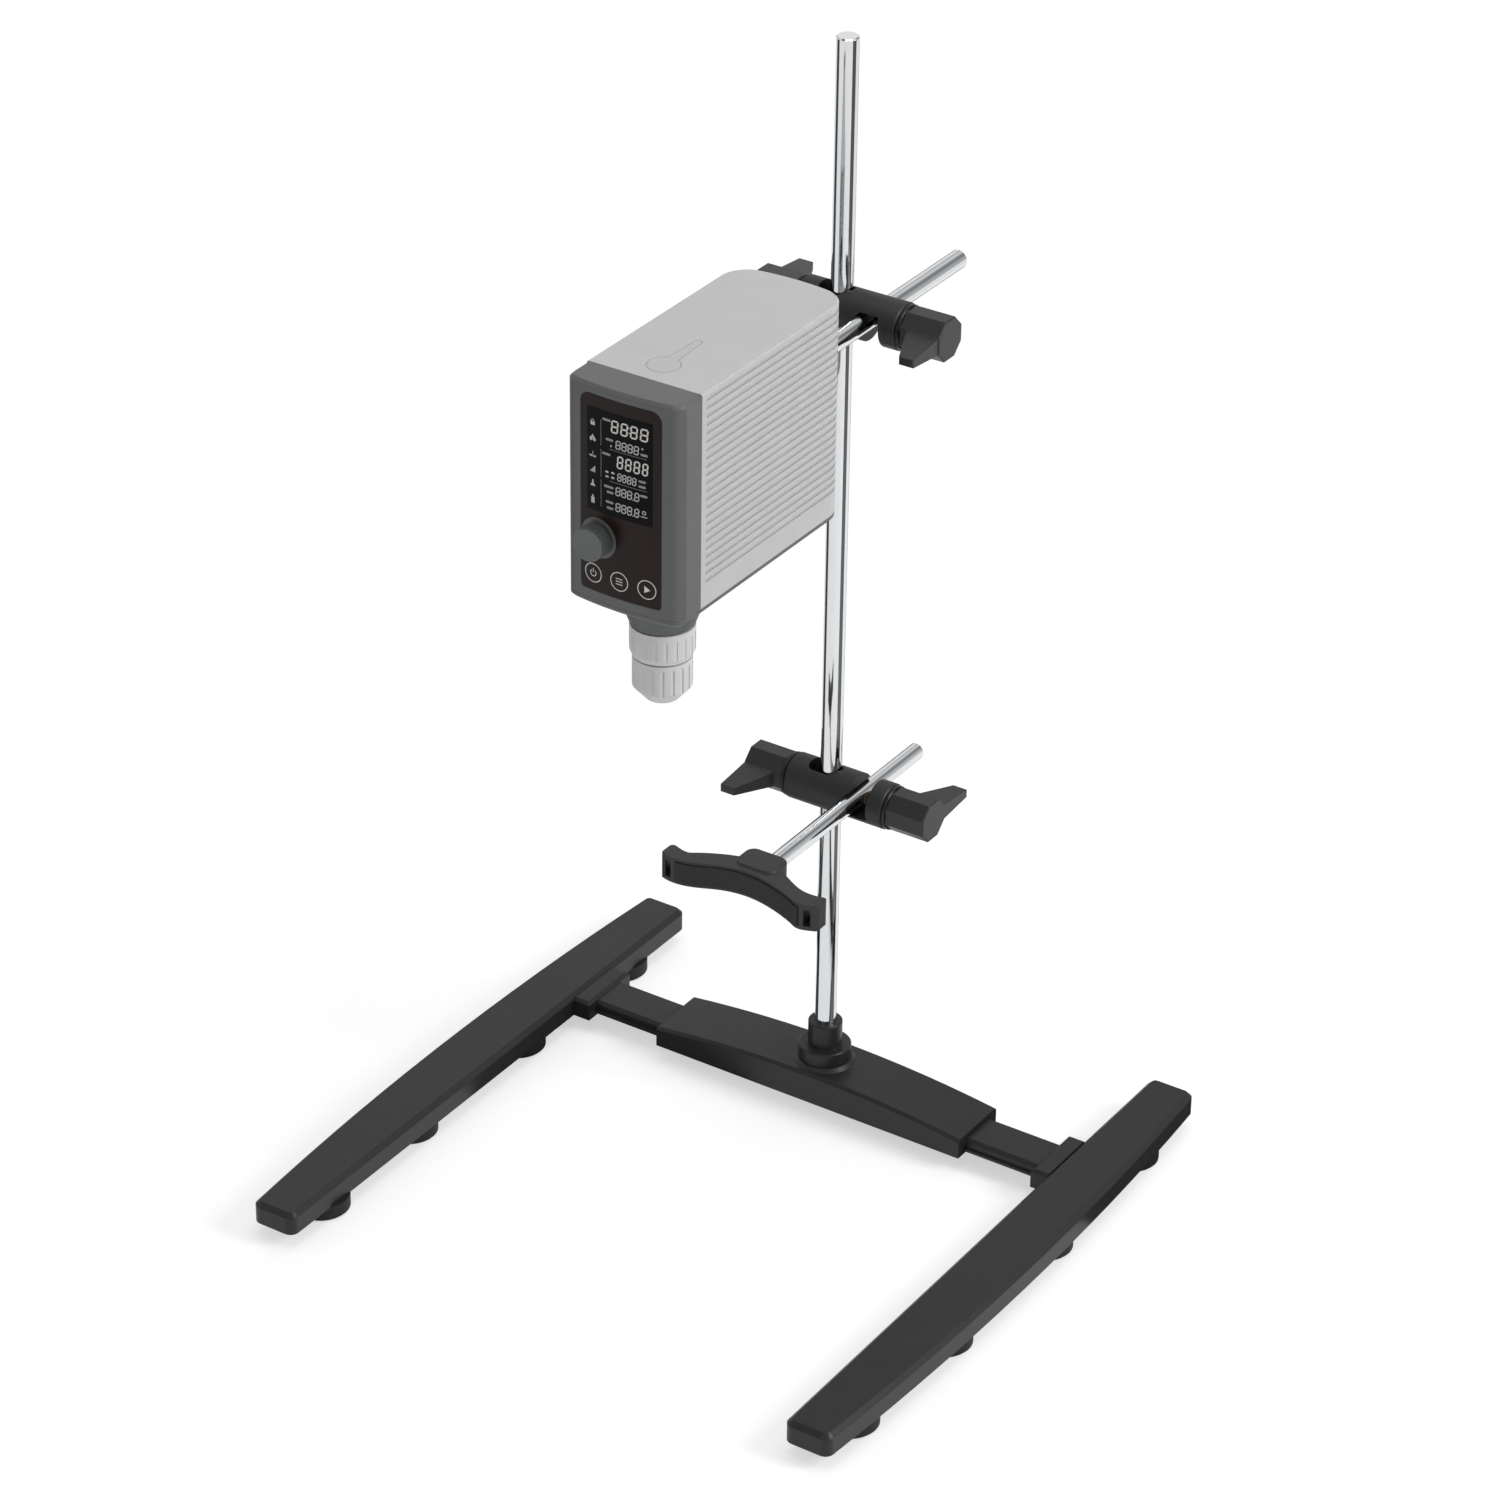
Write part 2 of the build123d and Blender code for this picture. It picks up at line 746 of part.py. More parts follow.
def cover_outline(inset=0.0):
    """The front cover seen from above, pulled in by a wall."""
    half = head_half_width - inset
    front = cover_front_y + inset
    shoulder = front + cover_front_bulge
    left = spindle_x - half
    right = spindle_x + half
    arc = ThreePointArc((left, shoulder), (spindle_x, front), (right, shoulder))
    lines = Line((right, shoulder), (right, seam_y)) + Line((right, seam_y), (left, seam_y))
    lines += Line((left, seam_y), (left, shoulder))
    face = make_face(lines + arc)
    corners = face.vertices().sort_by(Axis.Y)[:2]
    return fillet(corners, cover_corner - inset)


def grooves():
    """The stack of shallow grooves round the sides and back of the shell."""
    rim = shell_outline() - shell_outline(groove_depth)
    front_limit = seam_y + groove_start
    behind = block(spindle_x - head_half_width - 1, spindle_x + head_half_width + 1,
                   front_limit, head_back_y + 1, -1, groove_height + 1)
    ring = extrude(rim, amount=groove_height) & behind
    count = int((head_top - groove_first - shell_bottom - plain_band) / groove_pitch) + 1
    stack = []
    for index in range(count):
        z = head_top - groove_first - index * groove_pitch - groove_height
        stack.append(Pos(0, 0, z) * ring)
    return stack


def ribbed_shell():
    """The pale shell over the motor, open at its front and underneath."""
    height = head_top - shell_bottom
    shell = Pos(0, 0, shell_bottom) * extrude(shell_outline(), amount=height)
    shell = chamfer(edges_at(shell, head_top).sort_by(Axis.Y)[1:], shell_edge)
    hollow = shell_outline(wall) + Pos(0, -wall) * shell_outline(wall)
    shell -= Pos(0, 0, shell_bottom) * extrude(hollow, amount=height - wall)
    for ring in grooves():
        shell -= ring
    shell -= cylinder_z(spindle_x, spindle_y, head_top - wall - 1, head_top + 1, cap_plug_r + slide_gap)
    shell -= cap_cut()
    shell -= cylinder_y(arm_x, upper_boss_z, 0, head_back_y + 1, arm_socket_r)
    shell -= cylinder_y(arm_x, upper_boss_z, flange_seat_y(0), head_back_y + 1, arm_socket_flange_r)
    inlet = spindle_x + inlet_x
    shell -= cylinder_y(inlet, inlet_z(), 0, head_back_y + 1, inlet_r)
    shell -= cylinder_y(inlet, inlet_z(), flange_seat_y(inlet_x), head_back_y + 1, inlet_flange_r)
    return shell


def inlet_z():
    """The power inlet sits in the middle of the plain band."""
    return shell_bottom + plain_band / 2 - 0.5


def cap_shape(gap, depth):
    """The cap and its tongue seen from above, grown by a gap."""
    tip_y = spindle_y + cap_tongue_length
    disc = Pos(spindle_x, spindle_y) * Circle(cap_r + gap)
    points = [
        (spindle_x - cap_tongue_root - gap, spindle_y),
        (spindle_x + cap_tongue_root + gap, spindle_y),
        (spindle_x + cap_tongue_tip + gap, tip_y),
        (spindle_x - cap_tongue_tip - gap, tip_y),
    ]
    tongue = make_face(Polyline(*points, close=True))
    tip = Pos(spindle_x, tip_y) * Circle(cap_tongue_tip + gap)
    outline = disc + tongue + tip
    return Pos(0, 0, head_top - depth) * extrude(outline, amount=depth)


def cap_cut():
    """The shallow recess that the cap lies in."""
    return cap_shape(slide_gap, cap_depth) + Pos(0, 0, cap_depth) * cap_shape(slide_gap, cap_depth)


def shaft_cap():
    """The soft cap over the through bore, hinged by its tongue."""
    plug = cylinder_z(spindle_x, spindle_y, head_top - cap_depth - cap_plug_depth,
                      head_top - cap_depth, cap_plug_r)
    return cap_shape(0, cap_depth) + plug


def panel_window(gap):
    """The panel's outline seen from the front, drawn out forward."""
    plane = Plane(origin=(spindle_x, seam_y - cover_corner, panel_bottom - gap), x_dir=(1, 0, 0),
                  z_dir=(0, -1, 0))
    half = panel_half_width + gap
    high = panel_top - panel_bottom + 2 * gap
    face = make_face(Polyline((-half, 0), (half, 0), (half, high), (-half, high), close=True))
    face = fillet(face.vertices().sort_by(Axis.Y)[:2], panel_low_corner)
    face = fillet(face.vertices().sort_by(Axis.Y)[-2:], panel_corner)
    return extrude(plane * face, amount=leg_length)


def front_slab(depth_out, depth_in, gap=0.0):
    """The panel's plate, following the bowed front between two depths."""
    rim = cover_outline(depth_out) - cover_outline(depth_in)
    band = Pos(0, 0, shell_bottom) * extrude(rim, amount=head_top - shell_bottom)
    return band & panel_window(gap)


def dial_axis(front, back, radius):
    """A round bar on the control knob's axis."""
    return cylinder_y(spindle_x + dial_x, dial_z, front, back, radius)


def key_places():
    """The keys stand in a row below the display."""
    for index in range(key_count):
        yield spindle_x + (index - (key_count - 1) / 2) * key_spacing


def key_axes(radius):
    """Round bars through every key's place."""
    return [cylinder_y(x, key_z, cover_front_y - 1, seam_y, radius) for x in key_places()]


def panel_blank(depth_out):
    """The display panel's plate with the bite round the control knob."""
    return front_slab(depth_out, panel_depth) - dial_axis(cover_front_y - 1, seam_y, dial_recess_r)


def front_cover():
    """The dark front cover, open at the back, with a seat for the panel."""
    height = head_top - shell_bottom
    cover = Pos(0, 0, shell_bottom) * extrude(cover_outline(), amount=height)
    front_top = edges_at(cover, head_top).sort_by(Axis.Y)[:-1]
    cover = chamfer(front_top, cover_edge)
    hollow = cover_outline(wall) + Pos(0, wall) * cover_outline(wall)
    cover -= Pos(0, 0, shell_bottom) * extrude(hollow, amount=height - wall)
    cover -= panel_blank(-1)
    cover -= block(spindle_x - lcd_half_width, spindle_x + lcd_half_width, cover_front_y - 1,
                   seam_y - 1, lcd_bottom, lcd_top)
    cover -= dial_axis(cover_front_y - 1, seam_y, encoder_r + slide_gap)
    for bar in key_axes(key_r / 2 + slide_gap):
        cover -= bar
    return cover


def display_panel():
    """The glossy panel with holes for its keys."""
    panel = panel_blank(0)
    for bar in key_axes(key_r + slide_gap / 2):
        panel -= bar
    return panel


def key(x):
    """A key flush with the panel, with a stem through the cover."""
    cap_depth_y = panel_depth - key_stroke - seat_gap
    cap = front_slab(0, cap_depth_y) & cylinder_y(x, key_z, cover_front_y - 1, seam_y, key_r)
    stem_front = cover_front_y + cap_depth_y / 2
    stem_back = board_front() - key_stroke - seat_gap
    return cap + cylinder_y(x, key_z, stem_front, stem_back, key_r / 2) - in_front_of_cover()


def in_front_of_cover():
    """Everything ahead of the bowed front face."""
    height = head_top - head_bottom
    ahead = block(spindle_x - head_half_width - 5, spindle_x + head_half_width + 5,
                  cover_front_y - 20, seam_y, head_bottom, head_top)
    return ahead - Pos(0, 0, head_bottom) * extrude(cover_outline(), amount=height)


def board_front():
    """The control board stands just behind the display module."""
    return cover_front_y + panel_depth + lcd_depth + board_gap


def lcd_module():
    """The display module behind the panel."""
    inset = seat_gap
    body = block(spindle_x - lcd_half_width + inset, spindle_x + lcd_half_width - inset,
                 cover_front_y - 1, board_front(), lcd_bottom + inset, lcd_top - inset)
    height = head_top - head_bottom
    behind = Pos(0, 0, head_bottom) * extrude(cover_outline(panel_depth), amount=height)
    return body & behind


def control_board():
    """The circuit board that carries the display, the encoder and the keys."""
    front = board_front()
    half = head_half_width - wall - board_margin
    board = block(spindle_x - half, spindle_x + half, front, front + board_thickness,
                  panel_bottom + 3, panel_top - 3)
    return board - dial_axis(front - 1, front + board_thickness + 1, encoder_r + slide_gap)


def encoder_body():
    """The encoder's case on the back of the board."""
    back = board_front() + board_thickness
    body = dial_axis(back, back + encoder_body_depth, encoder_body_r)
    return body - dial_axis(back - 1, back + encoder_body_depth - 1, encoder_r + shaft_gap)


def encoder_shaft():
    """The encoder's shaft, pushed in by the control knob."""
    front = cover_front_y - dial_gap - dial_length + 3
    back = board_front() + board_thickness + encoder_in_body
    return dial_axis(front, back, encoder_r)


def control_knob():
    """The round control knob with a fluted rim."""
    back = cover_front_y - dial_gap
    front = back - dial_length
    knob = dial_axis(front, front + dial_plain, dial_r)
    face_edge = knob.edges().filter_by(GeomType.CIRCLE).sort_by(Axis.Y)[:1]
    knob = chamfer(face_edge, 0.9)
    points = []
    for index in range(dial_flutes):
        for share, radius in ((0, dial_r), (0.5, dial_r), (0.75, dial_r - dial_flute_depth)):
            angle = 2 * math.pi * (index + share) / dial_flutes
            points.append((radius * math.cos(angle), radius * math.sin(angle)))
    plane = Plane(origin=(spindle_x + dial_x, front + dial_plain, dial_z), x_dir=(1, 0, 0),
                  z_dir=(0, 1, 0))
    knob += extrude(plane * make_face(Polyline(*points, close=True)), amount=dial_length - dial_plain)
    return knob - dial_axis(front + 3 - seat_gap, back + 1, encoder_r + shaft_gap)


def base_plate():
    """The dark plate under the whole head; it carries the drive."""
    outline = shell_outline() + cover_outline()
    plate = Pos(0, 0, head_bottom) * extrude(outline, amount=plate_thickness)
    plate = chamfer(edges_at(plate, head_bottom), plate_edge)
    plate -= cylinder_z(spindle_x, spindle_y, head_bottom - 1, shell_bottom + 1,
                        bearing_r + housing_wall)
    for x, y in cover_screw_places():
        plate -= cylinder_z(x, y, head_bottom - 1, shell_bottom + 1, cover_screw_r)
    return plate


def neck():
    """The tapered neck round the spindle housing."""
    cone = turned([(0, neck_bottom), (neck_bottom_r - neck_edge, neck_bottom),
                   (neck_bottom_r, neck_bottom + neck_edge), (neck_top_r, head_bottom),
                   (0, head_bottom)])
    cone -= cylinder_z(0, 0, neck_bottom + housing_wall, head_bottom + 1, bearing_r + housing_wall)
    return on_spindle(cone - cylinder_z(0, 0, neck_bottom - 1, head_bottom,
                                        bearing_r - bearing_shoulder))


def spindle_housing():
    """The tube that holds both spindle bearings."""
    low = neck_bottom + housing_wall
    outer = bearing_r + housing_wall
    tube = cylinder_z(spindle_x, spindle_y, low, housing_top, outer)
    flange_top = shell_bottom + housing_flange
    flange = cylinder_z(spindle_x, spindle_y, shell_bottom, flange_top, housing_flange_r)
    flange -= block(spindle_x - leg_length, spindle_x + leg_length, -leg_length, seam_y + seat_gap,
                    shell_bottom - 1, flange_top + 1)
    tube += flange
    for z in (low, housing_top - bearing_width):
        tube -= cylinder_z(spindle_x, spindle_y, z, z + bearing_width, bearing_r)
    return tube - cylinder_z(spindle_x, spindle_y, low, housing_top, bearing_r - bearing_shoulder)


def spindle_bearings():
    """Two ball bearings, each drawn as one ring."""
    rings = []
    low = neck_bottom + housing_wall
    for z in (low, housing_top - bearing_width):
        ring = cylinder_z(spindle_x, spindle_y, z, z + bearing_width, bearing_r)
        bore = cylinder_z(spindle_x, spindle_y, z - 1, z + bearing_width + 1, spindle_r + shaft_gap)
        rings.append(ring - bore)
    return rings


# Drive
def involute_point(base_r, roll):
    """A point of the involute, in polar form, at a roll angle."""
    return base_r * math.sqrt(1 + roll * roll), roll - math.atan(roll)


def gear_face(teeth, phase):
    """A spur gear outline with involute flanks, thinned for backlash."""
    pitch_r = gear_module * teeth / 2
    base_r = pitch_r * math.cos(math.radians(pressure_angle))
    tip_r = pitch_r + gear_module
    root_r = pitch_r - 1.25 * gear_module
    start_r = max(base_r, root_r)
    roll_pitch = math.tan(math.radians(pressure_angle))
    half = math.pi / (2 * teeth) - tooth_backlash / 2 / pitch_r
    half += roll_pitch - math.atan(roll_pitch)
    roll_low = math.sqrt((start_r / base_r) ** 2 - 1)
    roll_high = math.sqrt((tip_r / base_r) ** 2 - 1)
    flank = []
    steps = 4
    for step in range(steps + 1):
        roll = roll_low + (roll_high - roll_low) * step / steps
        radius, lean = involute_point(base_r, roll)
        flank.append((radius, half - lean))
    points = []
    for tooth in range(teeth):
        centre = phase + 2 * math.pi * tooth / teeth
        rising = [(root_r, -half)] + [(r, -a) for r, a in flank]
        falling = [(r, a) for r, a in reversed(flank)] + [(root_r, half)]
        for radius, angle in rising + falling:
            points.append((radius * math.cos(centre + angle), radius * math.sin(centre + angle)))
    return make_face(Polyline(*points, close=True))


def spindle_gear():
    """The large gear on the spindle; a tooth points at the motor."""
    wheel = Pos(spindle_x, spindle_y, gear_z) * extrude(gear_face(gear_teeth, math.pi / 2),
                                                        amount=gear_width)
    return wheel - cylinder_z(spindle_x, spindle_y, gear_z - 1, gear_z + gear_width + 1, spindle_r)


def motor_pinion():
    """The motor's shaft with its rotor and pinion; a tooth gap faces the spindle."""
    phase = -math.pi / 2 + math.pi / pinion_teeth
    pinion = Pos(spindle_x, motor_y, gear_z) * extrude(gear_face(pinion_teeth, phase),
                                                      amount=gear_width)
    shaft = cylinder_z(spindle_x, motor_y, gear_z - 1, motor_top - motor_wall - rotor_gap, motor_shaft_r)
    rotor = cylinder_z(spindle_x, motor_y, motor_bottom + motor_wall + rotor_gap,
                       motor_top - motor_wall - rotor_gap, rotor_r)
    return pinion + shaft + rotor


def motor_can():
    """The motor's case with its windings as one thick ring."""
    can = cylinder_z(spindle_x, motor_y, motor_bottom, motor_top, motor_r)
    can = chamfer(edges_at(can, motor_top), motor_edge)
    can -= cylinder_z(spindle_x, motor_y, motor_bottom + motor_wall, motor_top - motor_wall,
                      rotor_r + 0.5)
    return can - cylinder_z(spindle_x, motor_y, motor_bottom - 1, motor_bottom + motor_wall + 1,
                            motor_shaft_r + shaft_gap)


def standoff_places():
    """Posts at the corners of the gear plate."""
    for side in (-1, 1):
        for y in (motor_y - gear_plate_front + standoff_inset, motor_y + gear_plate_back - standoff_inset):
            yield spindle_x + side * (gear_plate_half_x - standoff_inset), y


def gear_plate():
    """The plate that holds the motor above the gears, on four posts."""
    plate = block(spindle_x - gear_plate_half_x, spindle_x + gear_plate_half_x,
                  motor_y - gear_plate_front, motor_y + gear_plate_back,
                  gear_plate_z, gear_plate_z + gear_plate_thickness)
    plate -= cylinder_z(spindle_x, motor_y, gear_plate_z - 1, motor_bottom + 1,
                        motor_shaft_r + shaft_gap)
    for x, y in standoff_places():
        plate += cylinder_z(x, y, shell_bottom, gear_plate_z, standoff_r)
    return plate


def rear_surface_y(offset):
    """How far back the bowed rear reaches at a distance from the middle."""
    half = head_half_width
    radius = (half * half + head_back_bulge ** 2) / (2 * head_back_bulge)
    return head_back_y - radius + math.sqrt(radius * radius - offset * offset)


def flange_seat_y(offset):
    """The flat that a flange on the rear sits on, just below the surface."""
    return rear_surface_y(offset) - flange_sink


def dc_inlet():
    """The round low voltage inlet in the plain band at the back."""
    x = spindle_x + inlet_x
    z = inlet_z()
    back = flange_seat_y(inlet_x)
    body = cylinder_y(x, z, back - inlet_depth, back, inlet_r)
    flange = cylinder_y(x, z, back, back + inlet_flange, inlet_flange_r)
    return body + flange - cylinder_y(x, z, back - inlet_depth + 3, back + 5, inlet_bore_r)


def arm_socket():
    """The flanged bush in the back of the head that takes the support arm."""
    front = head_back_y - support_arm_in_head - arm_socket_wall
    seat = flange_seat_y(0)
    body = cylinder_y(arm_x, upper_boss_z, front, seat, arm_socket_r)
    flange = cylinder_y(arm_x, upper_boss_z, seat, seat + arm_socket_flange, arm_socket_flange_r)
    flange = chamfer(flange.edges().filter_by(GeomType.CIRCLE).sort_by(Axis.Y)[-1:], 0.8)
    bore_front = head_back_y - support_arm_in_head - seat_gap
    return body + flange - cylinder_y(arm_x, upper_boss_z, bore_front, head_back_y + 10,
                                      arm_r + shaft_gap)


def cover_screw_places():
    """Screws near the corners of the base plate."""
    half = head_half_width - wall - 4
    for side in (-1, 1):
        for y in (seam_y + 12, head_back_y - head_back_corner - 6):
            yield spindle_x + side * half, y


def cover_screws():
    """Pan head screws that close the head from below."""
    screws = []
    for x, y in cover_screw_places():
        head = cylinder_z(x, y, head_bottom - cover_screw_head, head_bottom, cover_screw_head_r)
        shank = cylinder_z(x, y, head_bottom, head_bottom + cover_screw_length, cover_screw_r)
        screws.append(head + shank)
    return screws


# Chuck
def on_spindle(shape):
    """Move a shape made about Z onto the spindle's axis."""
    return Pos(spindle_x, spindle_y, 0) * shape


def spindle():
    """The hollow spindle."""
    tube = cylinder_z(spindle_x, spindle_y, spindle_seat, spindle_top, spindle_r)
    return tube - cylinder_z(spindle_x, spindle_y, spindle_seat - 1, spindle_top + 1, spindle_bore_r)


def jaw_direction(index):
    """Which way a jaw slides to close: down and towards the axis."""
    angle = 2 * math.pi * index / jaw_count + math.pi / 2
    lean = math.radians(jaw_angle)
    return Vector(-math.sin(lean) * math.cos(angle), -math.sin(lean) * math.sin(angle), -math.cos(lean))


def jaw_bar(index, extra_low, extra_high, radius):
    """A round bar along a jaw's sloping path."""
    angle = 2 * math.pi * index / jaw_count + math.pi / 2
    way = jaw_direction(index)
    tip = Vector(jaw_offset * math.cos(angle), jaw_offset * math.sin(angle), jaw_tip)
    start = tip + way * extra_low
    plane = Plane(origin=start, z_dir=-way)
    return extrude(plane * Circle(radius), amount=jaw_length + extra_low + extra_high)


def jaw(index):
    """A sloping round jaw whose inner face fits a shaft."""
    body = jaw_bar(index, 6.0, 0, jaw_r)
    body &= turned([(0, jaw_tip), (chuck_core_r, jaw_tip), (chuck_core_r, jaw_tip + 40), (0, jaw_tip + 40)])
    body -= cylinder_z(0, 0, jaw_tip - 1, jaw_tip + 60, jaw_grip_r)
    angle = 2 * math.pi * index / jaw_count + math.pi / 2
    reach = 3 * jaw_grip_r
    near = jaw_grip_r - jaw_face_half / math.tan(math.pi / 3)
    half_far = (reach - near) * math.tan(math.pi / 3)
    wedge = make_face(Polyline((near, 0), (reach, half_far), (reach, -half_far), close=True))
    sector = Rot(Z=math.degrees(angle)) * Pos(0, 0, jaw_tip - 1) * extrude(wedge, amount=60)
    return body & sector


def flutes(count, radius, depth, low, high):
    """Sawtooth notches round a grip: a slow ramp in, then a steep wall out."""
    cuts = []
    pitch = 2 * math.pi / count
    outer = radius / math.cos(flute_share * pitch / 2) + 1
    for index in range(count):
        corners = []
        for share, at in ((0, radius), (flute_share, radius - depth), (flute_share, outer), (0, outer)):
            angle = (index + share) * pitch
            corners.append((at * math.cos(angle), at * math.sin(angle)))
        cuts.append(Pos(0, 0, low) * extrude(make_face(Polyline(*corners, close=True)),
                                             amount=high - low))
    return cuts


def chuck_body():
    """The core that guides the jaws, with a fluted grip round its top."""
    top = collar_top
    nose_r = sleeve_nose_r - sleeve_floor
    cone_z = sleeve_taper - 1
    core = turned([(0, chuck_core_bottom), (nose_r, chuck_core_bottom), (chuck_core_r, cone_z),
                   (chuck_core_r, collar_bottom), (collar_low_r, collar_bottom),
                   (collar_r, collar_bottom + collar_taper), (collar_r, top), (0, top)])
    for cut in flutes(collar_flutes, collar_r, collar_flute_depth, collar_bottom - 1,
                      top - collar_plain):
        core -= cut
    core -= cylinder_z(0, 0, chuck_core_bottom - 1, top + 1, chuck_bore_r)
    core -= cylinder_z(0, 0, spindle_seat, top + 1, spindle_r)
    for index in range(jaw_count):
        core -= jaw_bar(index, jaw_travel + 5, seat_gap, jaw_r + seat_gap)
    return core


def chuck_sleeve():
    """The fluted sleeve that is turned to close the jaws."""
    inner_r = chuck_core_r + slide_gap
    outer = [(sleeve_mouth_r, sleeve_bottom), (sleeve_nose_r, sleeve_bottom),
             (sleeve_r, sleeve_taper), (sleeve_r, sleeve_top), (inner_r, sleeve_top),
             (inner_r, sleeve_taper - 1 - slide_gap / 2),
             (sleeve_nose_r - sleeve_floor + slide_gap, chuck_core_bottom - slide_gap),
             (sleeve_mouth_r, chuck_core_bottom - slide_gap)]
    sleeve = turned(outer)
    for cut in flutes(sleeve_flutes, sleeve_r, flute_depth, sleeve_bottom,
                      sleeve_top - sleeve_plain):
        sleeve -= cut
    return sleeve


def make_stand():
    """The beam, socket, rod and bolt."""
    save("beam_sleeve", beam_sleeve())
    save("rod_socket", rod_socket())
    save("rod_bolt", rod_bolt())
    save("stand_rod", stand_rod())


def make_strap_holder():
    """The strap rod with its bow and pad."""
    save("strap_rod", strap_rod())
    save("strap_bow", strap_bow())
    save("bow_pad", bow_pad_shape())


def make_head():
    """The motor head's shells, controls and fixed inner pieces."""
    save("ribbed_shell", ribbed_shell())
    save("front_cover", front_cover())
    save("base_plate", base_plate())
    save("neck", neck())
    save("display_panel", display_panel())
    save("lcd_module", lcd_module())
    save("control_board", control_board())
    save("encoder_body", encoder_body())
    save("encoder_shaft", encoder_shaft())
    save("control_knob", control_knob())
    save("shaft_cap", shaft_cap())
    save("spindle_housing", spindle_housing())
    save("spindle_bearings", spindle_bearings())
    save("motor_can", motor_can())
    save("gear_plate", gear_plate())
    save("dc_inlet", dc_inlet())
    save("arm_socket", arm_socket())
    save("cover_screws", cover_screws())
    for name, x in zip(("left", "middle", "right"), key_places()):
        save(f"key_{name}", key(x))


def make_drive():
    """The spindle, gears, chuck and jaws."""
    save("spindle", spindle())
    save("spindle_gear", spindle_gear())
    save("motor_pinion", motor_pinion())
    save("chuck_body", on_spindle(chuck_body()))
    save("chuck_sleeve", on_spindle(chuck_sleeve()))
    for index in range(jaw_count):
        save(f"chuck_jaw_{index + 1}", on_spindle(jaw(index)))


make_stand()
make_legs()
make_clamp("upper", upper_boss_z, False, -1, arm_r)
make_clamp("lower", lower_boss_z, True, 1, strap_rod_r)
save("support_arm", support_arm())
make_strap_holder()
make_head()
make_drive()
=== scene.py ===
import bmesh
import bpy
import json
import math
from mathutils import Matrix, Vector


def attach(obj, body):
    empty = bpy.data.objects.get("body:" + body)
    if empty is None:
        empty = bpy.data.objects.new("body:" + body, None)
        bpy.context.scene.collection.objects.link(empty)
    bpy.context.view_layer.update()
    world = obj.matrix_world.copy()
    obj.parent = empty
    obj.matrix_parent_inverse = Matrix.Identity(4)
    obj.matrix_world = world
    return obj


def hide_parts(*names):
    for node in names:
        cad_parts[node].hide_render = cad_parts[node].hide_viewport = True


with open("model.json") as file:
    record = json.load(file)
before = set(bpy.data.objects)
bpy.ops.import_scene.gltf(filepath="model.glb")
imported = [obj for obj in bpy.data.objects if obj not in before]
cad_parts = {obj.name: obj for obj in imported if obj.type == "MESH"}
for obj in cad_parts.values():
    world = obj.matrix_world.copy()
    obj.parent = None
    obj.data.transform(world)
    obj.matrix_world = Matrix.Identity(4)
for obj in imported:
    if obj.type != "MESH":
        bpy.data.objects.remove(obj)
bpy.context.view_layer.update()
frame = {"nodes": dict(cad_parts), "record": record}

nodes = frame["nodes"]
scene = bpy.context.scene
MM = 0.001

# Head measures in millimetres
head_x = 24.5
front_y = -179.8
front_half = 44.9
front_bulge = 4.5
front_r = (front_half ** 2 + front_bulge ** 2) / (2 * front_bulge)


# Camera
cam_data = bpy.data.cameras.new("camera")
cam_data.lens = 126.874
cam_data.sensor_width = 36.0
cam_data.shift_x = 0.08388
cam_data.clip_end = 20.0
cam = bpy.data.objects.new("camera", cam_data)
cam.location = (1.73758, -2.67869, 2.22677)
cam.rotation_euler = (math.radians(90 - 30.275), 0, math.radians(34.370))
scene.collection.objects.link(cam)
scene.camera = cam
scene.view_settings.view_transform = "Standard"


# Materials
def linear(level):
    """One sRGB channel, 0 to 255, as linear light."""
    c = level / 255
    return c / 12.92 if c <= 0.04045 else ((c + 0.055) / 1.055) ** 2.4


def add_node(tree, kind, **values):
    """A shader node with some of its named inputs filled in."""
    node = tree.nodes.new("ShaderNode" + kind)
    for name, value in values.items():
        node.inputs[name.replace("_", " ")].default_value = value
    return node


def material(name, rgb, rough, metal=0.0, spread=0.06, grain=1400, bump=0.15, depth=0.00005,
             rough_spread=0.06, specular=0.5, soft_edge=0.0004):
    """A surface with fine grain, slight tone drift, uneven gloss and rounded edges."""
    m = bpy.data.materials.new(name)
    m.use_nodes = True
    tree = m.node_tree
    shader = tree.nodes["Principled BSDF"]
    shader.inputs["Metallic"].default_value = metal
    shader.inputs["Specular IOR Level"].default_value = specular
    place = add_node(tree, "TexCoord")
    drift = add_node(tree, "TexNoise", Scale=45, Detail=4)
    fine = add_node(tree, "TexNoise", Scale=grain, Detail=3)
    for tex in (drift, fine):
        tree.links.new(place.outputs["Object"], tex.inputs["Vector"])
    ramp = add_node(tree, "ValToRGB")
    middle = [linear(level) for level in rgb]
    dark, light = ramp.color_ramp.elements
    dark.position, light.position = 0.3, 0.7
    dark.color = [c * (1 - spread) for c in middle] + [1]
    light.color = [min(1, c * (1 + spread)) for c in middle] + [1]
    tree.links.new(drift.outputs["Fac"], ramp.inputs["Fac"])
    tree.links.new(ramp.outputs["Color"], shader.inputs["Base Color"])
    gloss = add_node(tree, "MapRange", From_Min=0.3, From_Max=0.7,
                     To_Min=max(0.02, rough - rough_spread), To_Max=min(1, rough + rough_spread))
    tree.links.new(fine.outputs["Fac"], gloss.inputs["Value"])
    tree.links.new(gloss.outputs["Result"], shader.inputs["Roughness"])
    relief = add_node(tree, "Bump", Strength=bump, Distance=depth)
    tree.links.new(fine.outputs["Fac"], relief.inputs["Height"])
    if soft_edge:
        edge = add_node(tree, "Bevel", Radius=soft_edge)
        edge.samples = 4
        tree.links.new(edge.outputs["Normal"], relief.inputs["Normal"])
    tree.links.new(relief.outputs["Normal"], shader.inputs["Normal"])
    return m


